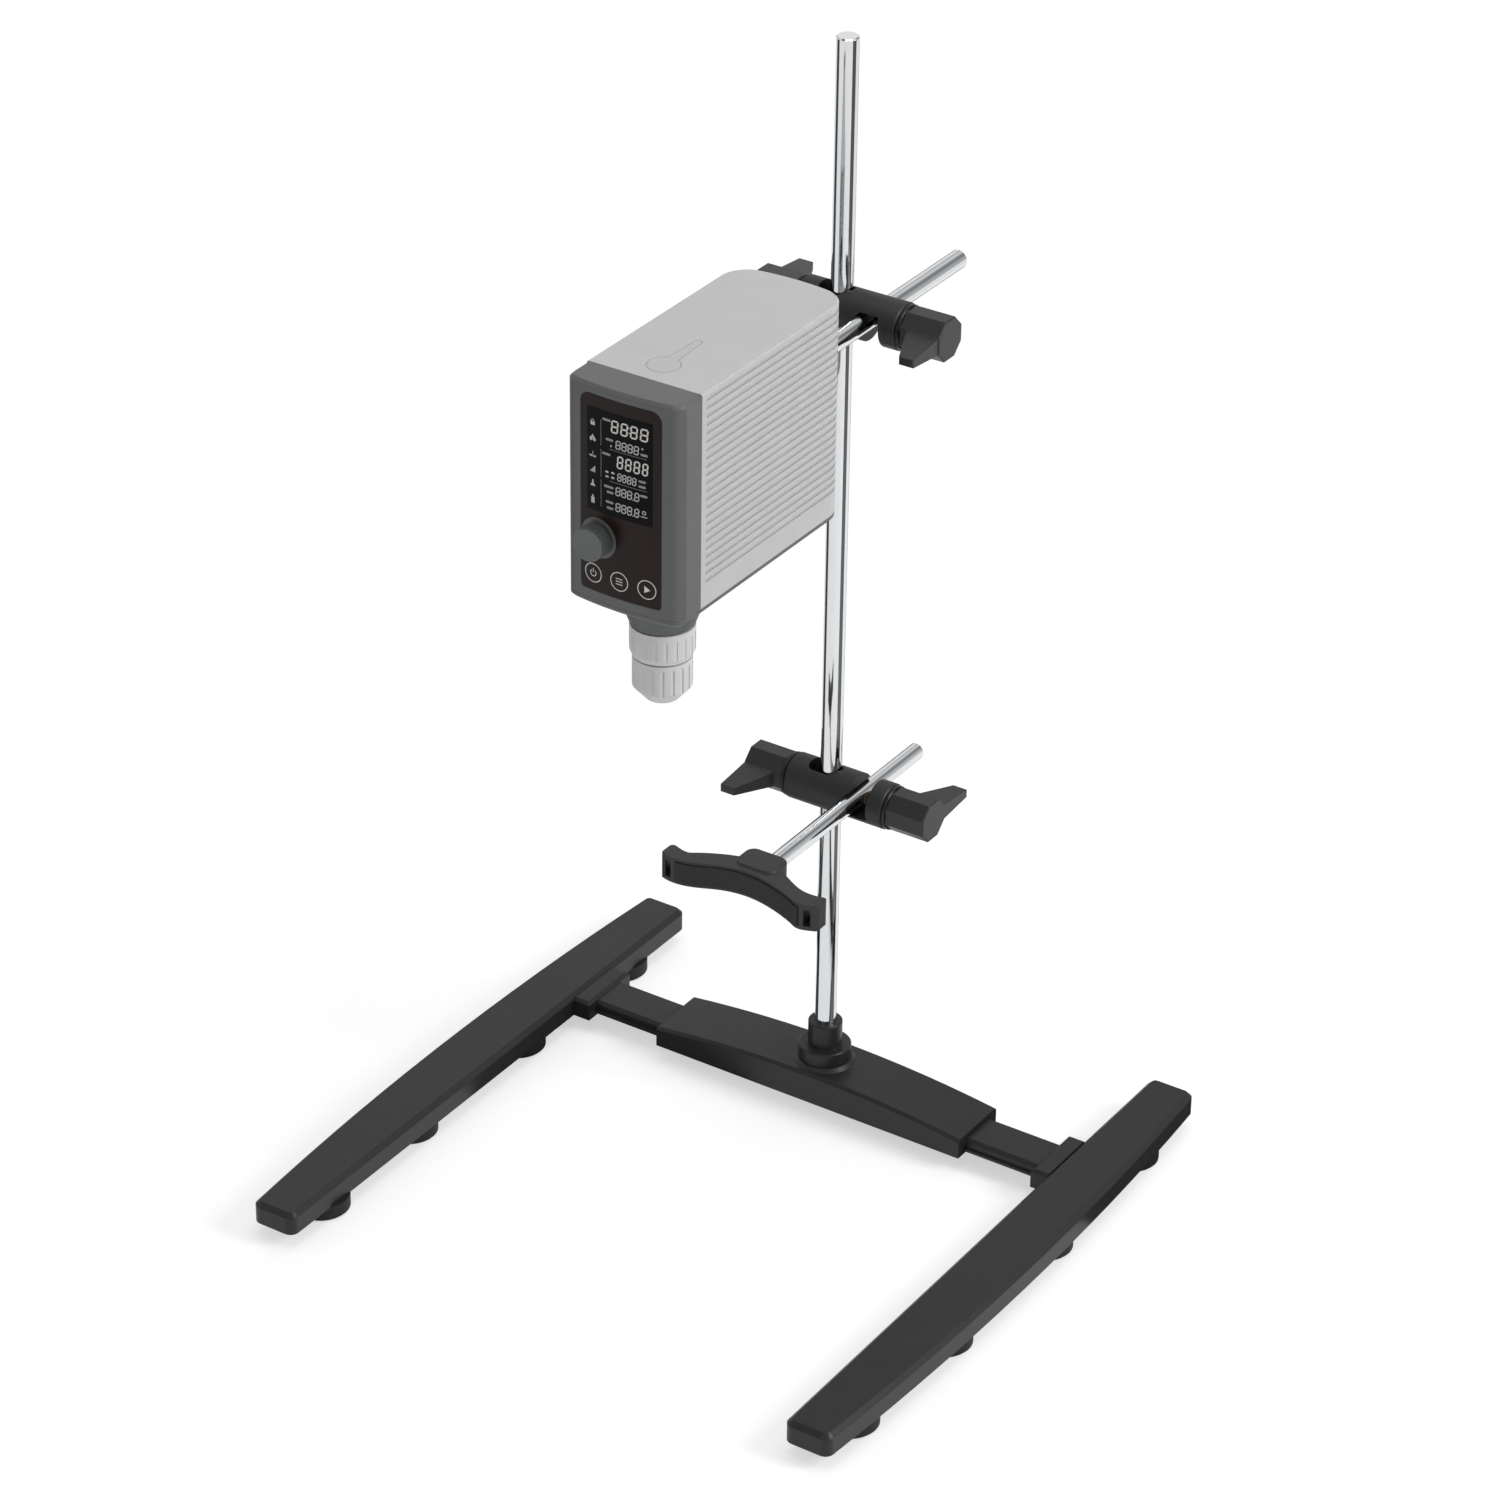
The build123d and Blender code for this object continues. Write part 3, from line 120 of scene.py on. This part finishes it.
looks = {
    "stand_paint": material("stand_paint", (38, 38, 39), 0.4, bump=0.35, grain=1800,
                            specular=0.3, soft_edge=0.0009),
    "leg_paint": material("leg_paint", (39, 39, 40), 0.4, bump=0.35, grain=1800,
                          specular=0.3, soft_edge=0.0012),
    "rail_paint": material("rail_paint", (37, 37, 38), 0.4, bump=0.35, grain=1800,
                           specular=0.3, soft_edge=0.0009),
    "foot_rubber": material("foot_rubber", (32, 32, 33), 0.7, bump=0.3, grain=900, specular=0.3),
    "rod_chrome": material("rod_chrome", (216, 218, 220), 0.07, 1.0, spread=0.015, bump=0.02,
                           rough_spread=0.025, soft_edge=0.0003),
    "clamp_paint": material("clamp_paint", (22, 22, 23), 0.5, bump=0.5, grain=1300, soft_edge=0.0008),
    "screw_black": material("screw_black", (30, 30, 31), 0.35, 0.4, bump=0.2, soft_edge=0.0005),
    "knob_plastic": material("knob_plastic", (29, 29, 30), 0.42, bump=0.4, grain=1500, soft_edge=0.0009),
    "pad_brass": material("pad_brass", (84, 74, 56), 0.45, 1.0, bump=0.2),
    "bow_plastic": material("bow_plastic", (33, 33, 34), 0.48, bump=0.4, grain=1500, soft_edge=0.001),
    "bow_rubber": material("bow_rubber", (42, 42, 43), 0.62, bump=0.4, grain=1100, specular=0.3),
    "shell_plastic": material("shell_plastic", (192, 192, 192), 0.5, spread=0.02, bump=0.3, grain=1500,
                              soft_edge=0.0006),
    "cover_plastic": material("cover_plastic", (94, 95, 96), 0.45, spread=0.03, bump=0.35, grain=1500,
                              soft_edge=0.0012),
    "neck_plastic": material("neck_plastic", (86, 88, 89), 0.5, bump=0.35, grain=1500, soft_edge=0.0008),
    "panel_gloss": material("panel_gloss", (35, 23, 21), 0.3, spread=0.03, bump=0.02, specular=0.16,
                            rough_spread=0.03, soft_edge=0.0003),
    "lcd_gloss": material("lcd_gloss", (5, 5, 6), 0.2, spread=0.02, bump=0.01, specular=0.08,
                          rough_spread=0.02, soft_edge=0),
    "key_gloss": material("key_gloss", (37, 25, 23), 0.3, spread=0.03, bump=0.03, specular=0.16,
                          rough_spread=0.03, soft_edge=0.0003),
    "dial_plastic": material("dial_plastic", (100, 104, 102), 0.5, bump=0.3, grain=1500, soft_edge=0.0003),
    "cap_rubber": material("cap_rubber", (190, 190, 190), 0.6, spread=0.02, bump=0.3, grain=1200),
    "board_laminate": material("board_laminate", (26, 92, 50), 0.35, spread=0.12, bump=0.2),
    "encoder_plastic": material("encoder_plastic", (28, 28, 29), 0.5),
    "inner_steel": material("inner_steel", (172, 172, 174), 0.3, 1.0, bump=0.2),
    "gear_steel": material("gear_steel", (165, 166, 168), 0.26, 1.0, bump=0.25),
    "motor_steel": material("motor_steel", (158, 160, 162), 0.3, 1.0, bump=0.2),
    "bearing_steel": material("bearing_steel", (186, 187, 190), 0.18, 1.0, bump=0.1),
    "inner_aluminium": material("inner_aluminium", (196, 198, 199), 0.42, 1.0, bump=0.5, grain=700),
    "chuck_grey": material("chuck_grey", (216, 216, 217), 0.45, spread=0.02, bump=0.25, grain=1500,
                           soft_edge=0.0003),
}
print_white = material("print_white", (226, 224, 220), 0.45, spread=0.02, bump=0.02, soft_edge=0)
print_grey = material("print_grey", (200, 198, 196), 0.45, spread=0.02, bump=0.02, soft_edge=0)
print_dim = material("print_dim", (150, 147, 146), 0.45, spread=0.02, bump=0.02, soft_edge=0)

slot_of = {s["node"]: s["material_slot"] for s in frame["record"]["subparts"]}
for name, node in nodes.items():
    node.data.materials.clear()
    node.data.materials.append(looks[slot_of[name]])


# Mesh helpers, in millimetres
def add_piece(name, vertices, faces, look, body, smooth=30):
    """A closed mesh that rides on a body."""
    mesh = bpy.data.meshes.new(name)
    mesh.from_pydata([tuple(c * MM for c in v) for v in vertices], [], faces)
    bm = bmesh.new()
    bm.from_mesh(mesh)
    bmesh.ops.recalc_face_normals(bm, faces=bm.faces)
    bm.to_mesh(mesh)
    bm.free()
    mesh.polygons.foreach_set("use_smooth", [True] * len(mesh.polygons))
    mesh.set_sharp_from_angle(angle=math.radians(smooth))
    mesh.materials.append(look)
    piece = bpy.data.objects.new(name, mesh)
    scene.collection.objects.link(piece)
    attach(piece, body)
    return piece


def face_y(x, proud):
    """Where the bowed front lies at a sideways place, a little proud of it."""
    return front_y + front_r - math.sqrt(front_r ** 2 - x * x) - proud


class Print:
    """Shapes printed on the bowed front, gathered into one mesh."""

    def __init__(self, proud, sunk):
        self.vertices = []
        self.faces = []
        self.proud = proud
        self.sunk = sunk
        self.base = 0.0

    def strip(self, lower, upper, closed=False):
        """A band between two rows of (x, z) points, given the same way along."""
        start = len(self.vertices)
        count = len(lower)
        for level in (self.proud, -self.sunk):
            for row in (lower, upper):
                for x, z in row:
                    self.vertices.append((head_x + x, face_y(x, level), z))
        layer = 2 * count
        last = count if closed else count - 1
        for i in range(last):
            j = (i + 1) % count
            a, b, c, d = start + i, start + j, start + count + j, start + count + i
            self.faces.append((a, b, c, d))
            self.faces.append((a + layer, d + layer, c + layer, b + layer))
            self.faces.append((a, a + layer, b + layer, b))
            self.faces.append((d, c, c + layer, d + layer))
        if not closed:
            a, d = start, start + count
            self.faces.append((a, d, d + layer, a + layer))
            b, c = start + count - 1, start + 2 * count - 1
            self.faces.append((b, b + layer, c + layer, c))

    def quad(self, a, b, c, d):
        self.strip([a, b], [d, c])

    def bar(self, x0, x1, z0, z1, steps=1):
        xs = [x0 + (x1 - x0) * i / steps for i in range(steps + 1)]
        self.strip([(x, z0) for x in xs], [(x, z1) for x in xs])

    def ring(self, x, z, outer, inner, first=0, last=360, count=48):
        whole = last - first >= 360
        turns = count if whole else count + 1
        angles = [math.radians(first + (last - first) * i / count) for i in range(turns)]
        rim = [(x + outer * math.cos(a), z + outer * math.sin(a)) for a in angles]
        hole = [(x + inner * math.cos(a), z + inner * math.sin(a)) for a in angles]
        self.strip(hole, rim, whole)

    def pill(self, x0, x1, z, height):
        """A small bar with round ends."""
        r = height / 2
        count = 6
        inset, least = 0.999, 0.01
        lower, upper = [], []
        for i in range(count + 1):
            a = math.pi / 2 * i / count
            lower.append((x0 + r - r * math.cos(a) * inset, z - r * math.sin(a) - least))
            upper.append((x0 + r - r * math.cos(a) * inset, z + r * math.sin(a) + least))
        for i in range(count + 1):
            a = math.pi / 2 * (1 - i / count)
            lower.append((x1 - r + r * math.cos(a) * inset, z - r * math.sin(a) - least))
            upper.append((x1 - r + r * math.cos(a) * inset, z + r * math.sin(a) + least))
        self.strip(lower, upper)

    def segment(self, a, b, width, lean):
        """One stroke of a digit, pointed at both ends."""
        ax, az = a
        bx, bz = b
        long = math.hypot(bx - ax, bz - az)
        ux, uz = (bx - ax) / long, (bz - az) / long
        h = width / 2
        gap, tip = 0.12, 0.02
        along = [gap, gap + h, long - gap - h, long - gap]
        side = [tip, h, h, tip]
        lower, upper = [], []
        for t, s in zip(along, side):
            x, z = ax + ux * t, az + uz * t
            lower.append((x + uz * s, z - ux * s))
            upper.append((x - uz * s, z + ux * s))
        tilt = [[(x + lean * (z - self.base), z) for x, z in row] for row in (lower, upper)]
        self.strip(*tilt)

    def digit(self, x0, x1, z0, z1, width, lean=0.08):
        """A seven stroke eight."""
        self.base = z0
        h = width / 2
        left, right, low, high = x0 + h, x1 - h, z0 + h, z1 - h
        middle = (low + high) / 2
        for a, b in (((left, low), (right, low)), ((left, middle), (right, middle)),
                     ((left, high), (right, high)), ((left, low), (left, middle)),
                     ((left, middle), (left, high)), ((right, low), (right, middle)),
                     ((right, middle), (right, high))):
            self.segment(a, b, width, lean)

    def digits(self, x0, x1, z0, z1, count, width, spread=0.86):
        pitch = (x1 - x0) / count
        for i in range(count):
            self.digit(x0 + i * pitch, x0 + (i + spread) * pitch, z0, z1, width)

    def finish(self, name, look):
        return add_piece(name, self.vertices, self.faces, look, "head")


# Screen and what it shows
ink_proud, ink_sunk = 0.1, 0.04
pill_height = 1.7
screen = Print(0.05, 0.1)
screen_left, screen_right = -26.0, 25.3
screen_low, screen_high = 631.5, 706.3
screen_columns = 40
low_row, high_row = [], []
for i in range(screen_columns + 1):
    x = screen_left + (screen_right - screen_left) * i / screen_columns
    low_row.append((x, screen_low))
    high_row.append((x, screen_high))
screen.strip(low_row, high_row)
screen.finish("screen_glass", looks["lcd_gloss"])

big = Print(ink_proud, ink_sunk)
for x0, x1 in ((-6.6, -0.3), (0.8, 7.0), (8.2, 14.4), (15.6, 22.2)):
    big.digit(x0, x1 - 0.6, 692.0, 701.4, 1.15)
for z in (695.0, 698.6):
    big.bar(7.35, 8.1, z, z + 0.8)
for x0, x1 in ((-2.0, 3.2), (4.4, 9.6), (10.8, 16.0), (17.2, 22.0)):
    big.digit(x0, x1 - 0.4, 667.6, 676.8, 1.1)
big.finish("screen_large_digits", print_white)

small = Print(ink_proud, ink_sunk)
small.digits(-3.0, 15.5, 681.2, 687.6, 4, 0.8)
small.digits(-1.6, 13.6, 658.5, 664.4, 4, 0.75)
for z0, z1 in ((647.6, 654.0), (636.1, 642.5)):
    small.digits(-3.0, 10.4, z0, z1, 3, 0.8)
    small.bar(10.4, 11.2, z0, z0 + 0.8)
    small.digit(11.4, 15.2, z0, z1, 0.8)
for x, z in ((-6.3, 682.2), (17.7, 686.6)):
    small.ring(x, z, 0.75, 0.3, count=20)
for x, z in ((-9.6, 662.7), (-4.9, 663.1), (-9.5, 659.4), (-4.9, 659.7)):
    small.pill(x - 1.3, x + 1.3, z, 1.3)
small.ring(19.0, 640.7, 1.5, 0.9, count=28)
small.bar(16.6, 21.4, 637.4, 638.0)
small.finish("screen_small_digits", print_grey)

pills = Print(ink_proud, ink_sunk)
for x0, x1, z in ((-13.3, -6.6, 700.1), (-10.6, -4.7, 686.4), (16.3, 21.7, 682.4),
                  (-13.3, -6.8, 675.5), (14.8, 20.3, 662.9), (14.8, 20.3, 659.2),
                  (-12.0, -4.4, 652.2), (-9.8, -4.4, 648.4), (16.0, 21.5, 652.7),
                  (-10.7, -4.4, 641.2), (-9.9, -4.4, 637.0)):
    pills.pill(x0, x1, z, pill_height)
pills.finish("screen_word_bars", print_dim)

lines = Print(ink_proud, ink_sunk)
for z in (679.7, 656.6):
    lines.bar(-7.6, 20.9, z - 0.12, z + 0.12, 12)
for z0, z1 in ((680.4, 699.1), (657.5, 677.8), (636.2, 655.7)):
    lines.bar(-14.55, -14.25, z0, z1)
lines.finish("screen_lines", print_dim)

# Signs down the left edge: lock, drops, propeller, bars, flask and bottle
signs = Print(ink_proud, ink_sunk)
sign_x = -21.2
turn_angles = [2 * math.pi * i / 24 for i in range(24)]
signs.bar(-23.0, -19.4, 693.0, 695.6)
signs.ring(sign_x, 695.8, 1.5, 1.0, 0, 180, 16)
for x, z, r in ((-22.6, 682.8, 1.2), (-19.8, 682.8, 1.2), (-21.2, 684.6, 1.1)):
    rim = []
    for a in turn_angles:
        rise = max(0, math.sin(a))
        rim.append((x + r * math.cos(a) * (1 - 0.35 * rise), z + r * math.sin(a) * (1 + 0.6 * rise)))
    hole = [(x + 0.1 * r * math.cos(a), z + 0.1 * r * math.sin(a)) for a in turn_angles]
    signs.strip(hole, rim, True)
signs.bar(-21.4, -21.0, 671.2, 674.4)
for side in (-1, 1):
    x = sign_x + side * 1.5
    rim = [(x + 1.4 * math.cos(a), 670.8 + 0.6 * math.sin(a) + 0.2 * side * math.cos(a))
           for a in turn_angles]
    hole = [(x + 0.1 * math.cos(a), 670.8 + 0.05 * math.sin(a)) for a in turn_angles]
    signs.strip(hole, rim, True)
for i in range(4):
    signs.bar(-23.1 + i * 1.05, -22.35 + i * 1.05, 659.2, 660.4 + i * 1.1)
signs.quad((-23.4, 649.0), (-19.0, 649.0), (-20.6, 651.6), (-21.8, 651.6))
signs.bar(-21.8, -20.6, 651.7, 653.6)
signs.bar(-22.6, -19.8, 636.6, 641.0)
signs.bar(-21.8, -20.6, 641.1, 642.6)
signs.finish("screen_signs", print_grey)

# Keys: a printed ring on each and a plain sign inside it
key_spacing = 21.1
key_z = 585.0
ring_outer, ring_inner = 7.0, 6.35
line_half = 0.3
for name, x in (("left", -key_spacing), ("middle", 0.0), ("right", key_spacing)):
    mark = Print(0.08, 0.06)
    mark.ring(x, key_z, ring_outer, ring_inner, count=64)
    if name == "left":
        mark.ring(x, key_z, 2.6, 2.0, -230, 50, 30)
        mark.bar(x - line_half, x + line_half, key_z + 0.6, key_z + 3.4)
    if name == "middle":
        for z in (key_z - 2, key_z, key_z + 2):
            mark.bar(x - 2.6, x + 2.6, z - line_half, z + line_half)
    if name == "right":
        mark.strip([(x - 1.8, key_z - 2.6), (x + 2.6, key_z - 0.03)],
                   [(x - 1.8, key_z + 2.6), (x + 2.6, key_z + 0.03)])
    add_piece(f"key_print_{name}", mark.vertices, mark.faces, print_white, f"{name}_key")


# Control knob with fine ridges
def control_knob():
    """A round knob with a flat face and a fine wavy rim, drawn as rings about its axis."""
    ridges = 50
    steps_per_ridge = 6
    count = ridges * steps_per_ridge
    ridge_depth = 0.75
    radius = 11.7
    bore = 3.06
    stand_off, length = 1.0, 12.0
    back = front_y - stand_off
    front = back - length
    axis_x, axis_z = head_x - 17.0, 612.0
    rings = [(9.0, front + 0.25, 0), (10.6, front, 0), (11.2, front + 0.25, 0), (radius, front + 1.0, 0.3),
             (radius, front + 1.8, ridge_depth), (radius, back - 0.6, ridge_depth),
             (radius - 0.3, back, 0.3), (bore, back, 0), (bore, front + 2.9, 0)]
    vertices, faces = [], []
    for r, y, depth in rings:
        for i in range(count):
            angle = 2 * math.pi * i / count
            wave = 0.5 - 0.5 * math.cos(2 * math.pi * i / steps_per_ridge)
            reach = r - depth * wave
            vertices.append((axis_x + reach * math.cos(angle), y, axis_z + reach * math.sin(angle)))
    for k in range(len(rings) - 1):
        low, high = k * count, (k + 1) * count
        for i in range(count):
            j = (i + 1) % count
            faces.append((low + i, low + j, high + j, high + i))
    faces.append(tuple(range(count)))
    faces.append(tuple(reversed(range((len(rings) - 1) * count, len(rings) * count))))
    piece = add_piece("ridged_control_knob", vertices, faces, looks["dial_plastic"],
                      "dial", 25)
    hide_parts("control_knob")


control_knob()


# Surroundings
def either(tree, first, second):
    """One where either of two sockets is one."""
    node = tree.nodes.new("ShaderNodeMath")
    node.operation = "MAXIMUM"
    tree.links.new(first, node.inputs[0])
    tree.links.new(second, node.inputs[1])
    return node.outputs[0]


def mix_shaders(tree, factor, first, second):
    """One shader where the factor is nought, the other where it is one."""
    node = tree.nodes.new("ShaderNodeMixShader")
    tree.links.new(factor, node.inputs["Fac"])
    tree.links.new(first, node.inputs[1])
    tree.links.new(second, node.inputs[2])
    return node.outputs[0]


def make_world():
    """White where seen, a plain level of light, and light and dark bands for what is mirrored."""
    world = bpy.data.worlds.new("world")
    scene.world = world
    world.use_nodes = True
    tree = world.node_tree
    tree.nodes.clear()
    seen = add_node(tree, "Background", Color=(1, 1, 1, 1), Strength=1.0)
    light = add_node(tree, "Background", Strength=0.5)
    studio = add_node(tree, "Background", Strength=1.0)
    place = add_node(tree, "TexCoord")
    split = add_node(tree, "SeparateXYZ")
    tree.links.new(place.outputs["Generated"], split.inputs[0])
    turn = add_node(tree, "Math")
    turn.operation = "ARCTAN2"
    tree.links.new(split.outputs["Y"], turn.inputs[0])
    tree.links.new(split.outputs["X"], turn.inputs[1])
    around = add_node(tree, "MapRange", From_Min=-math.pi, From_Max=math.pi)
    tree.links.new(turn.outputs[0], around.inputs["Value"])
    bands = add_node(tree, "ValToRGB")
    ramp = bands.color_ramp
    ramp.interpolation = "EASE"
    # Share of a turn and brightness
    stops = ((0.0, 0.75), (0.08, 0.9), (0.13, 0.12), (0.18, 0.06), (0.225, 0.95), (0.30, 1.0),
             (0.335, 0.55), (0.37, 0.08), (0.41, 0.06), (0.44, 0.85), (0.60, 0.9), (0.68, 0.25),
             (0.75, 0.8), (0.88, 0.3), (0.94, 0.8))
    first = stops[0][1]
    ramp.elements[0].color = (first, first, first, 1)
    ramp.elements[1].color = (first, first, first, 1)
    for at, value in stops[1:]:
        ramp.elements.new(at).color = (value, value, value, 1)
    tree.links.new(around.outputs["Result"], bands.inputs["Fac"])
    tree.links.new(bands.outputs["Color"], studio.inputs["Color"])
    rays = add_node(tree, "LightPath")
    direct = either(tree, rays.outputs["Is Camera Ray"], rays.outputs["Is Transmission Ray"])
    lit = mix_shaders(tree, rays.outputs["Is Glossy Ray"], light.outputs[0], studio.outputs[0])
    shown = mix_shaders(tree, direct, lit, seen.outputs[0])
    out = add_node(tree, "OutputWorld")
    tree.links.new(shown, out.inputs["Surface"])


def floor_look():
    """A pale floor that keeps the shadow, and turns plain white far out."""
    near_tone, near_glow = 0.6, 0.55
    look = bpy.data.materials.new("floor_white")
    look.use_nodes = True
    tree = look.node_tree
    shader = tree.nodes["Principled BSDF"]
    shader.inputs["Roughness"].default_value = 0.9
    shader.inputs["Specular IOR Level"].default_value = 0.1
    shader.inputs["Emission Color"].default_value = (1, 1, 1, 1)
    rays = add_node(tree, "LightPath")
    straight = either(tree, rays.outputs["Is Camera Ray"], rays.outputs["Is Glossy Ray"])
    viewed = either(tree, straight, rays.outputs["Is Transmission Ray"])
    place = add_node(tree, "TexCoord")
    reach = add_node(tree, "VectorMath")
    reach.operation = "LENGTH"
    tree.links.new(place.outputs["Object"], reach.inputs[0])
    fade = add_node(tree, "MapRange", From_Min=0.7, From_Max=2.2)
    fade.interpolation_type = "SMOOTHSTEP"
    tree.links.new(reach.outputs["Value"], fade.inputs["Value"])
    far = add_node(tree, "Mix")
    far.data_type = "RGBA"
    far.inputs["A"].default_value = (near_tone, near_tone, near_tone, 1)
    far.inputs["B"].default_value = (0, 0, 0, 1)
    tree.links.new(fade.outputs["Result"], far.inputs["Factor"])
    tone = add_node(tree, "Mix")
    tone.data_type = "RGBA"
    tone.inputs["A"].default_value = (0.93, 0.93, 0.93, 1)
    tree.links.new(viewed, tone.inputs["Factor"])
    tree.links.new(far.outputs["Result"], tone.inputs["B"])
    tree.links.new(tone.outputs["Result"], shader.inputs["Base Color"])
    bright = add_node(tree, "MapRange", To_Min=near_glow, To_Max=1.0)
    tree.links.new(fade.outputs["Result"], bright.inputs["Value"])
    glow = add_node(tree, "Math")
    glow.operation = "MULTIPLY"
    tree.links.new(viewed, glow.inputs[0])
    tree.links.new(bright.outputs["Result"], glow.inputs[1])
    tree.links.new(glow.outputs[0], shader.inputs["Emission Strength"])
    return look


def make_floor():
    """The floor, half a millimetre under the feet."""
    half, height = 6.0, -0.0005
    mesh = bpy.data.meshes.new("floor")
    mesh.from_pydata([(-half, -half, height), (half, -half, height), (half, half, height),
                      (-half, half, height)], [], [(0, 1, 2, 3)])
    mesh.materials.append(floor_look())
    floor = bpy.data.objects.new("floor", mesh)
    scene.collection.objects.link(floor)


make_world()
make_floor()


def lamp(name, place, aim, size, power, shine=1.0):
    """A square area lamp that looks at a point."""
    data = bpy.data.lights.new(name, "AREA")
    data.size = size
    data.energy = power
    data.specular_factor = shine
    item = bpy.data.objects.new(name, data)
    item.location = place
    item.rotation_euler = (Vector(aim) - Vector(place)).to_track_quat("-Z", "Y").to_euler()
    scene.collection.objects.link(item)


lamp("key_light", (2.7, 0.7, 2.1), (0, 0, 0.3), 1.1, 46)
lamp("fill_light", (-2.2, -2.2, 1.6), (0, 0, 0.4), 1.8, 4)
lamp("top_light", (0.2, 0.2, 3.2), (0, 0, 0), 2.2, 24)
lamp("back_light", (-2.0, 2.2, 1.9), (0, 0, 0.4), 1.8, 6, 0.1)


def dark_card(name, first, last):
    """A dark wedge round the rod's foot that only mirrored rays meet."""
    count = 8
    rod_y, height = 0.127, -0.0003
    near, far = 0.05, 3.5
    inner, outer = [], []
    for i in range(count + 1):
        a = math.radians(first + (last - first) * i / count)
        for radius, row in ((near, inner), (far, outer)):
            row.append((radius * math.cos(a), rod_y + radius * math.sin(a), height))
    faces = [(i, i + 1, count + 2 + i, count + 1 + i) for i in range(count)]
    mesh = bpy.data.meshes.new(name)
    mesh.from_pydata(inner + outer, [], faces)
    look = bpy.data.materials.new(name)
    look.use_nodes = True
    look.node_tree.nodes["Principled BSDF"].inputs["Base Color"].default_value = (0.01, 0.01, 0.01, 1)
    mesh.materials.append(look)
    card = bpy.data.objects.new(name, mesh)
    scene.collection.objects.link(card)
    card.visible_camera = False
    card.visible_diffuse = False
    card.visible_shadow = False
    card.visible_transmission = False


dark_card("dark_card_right", -6, 36)
dark_card("dark_card_left", 180, 216)
dark_card("dark_card_back", 96, 112)
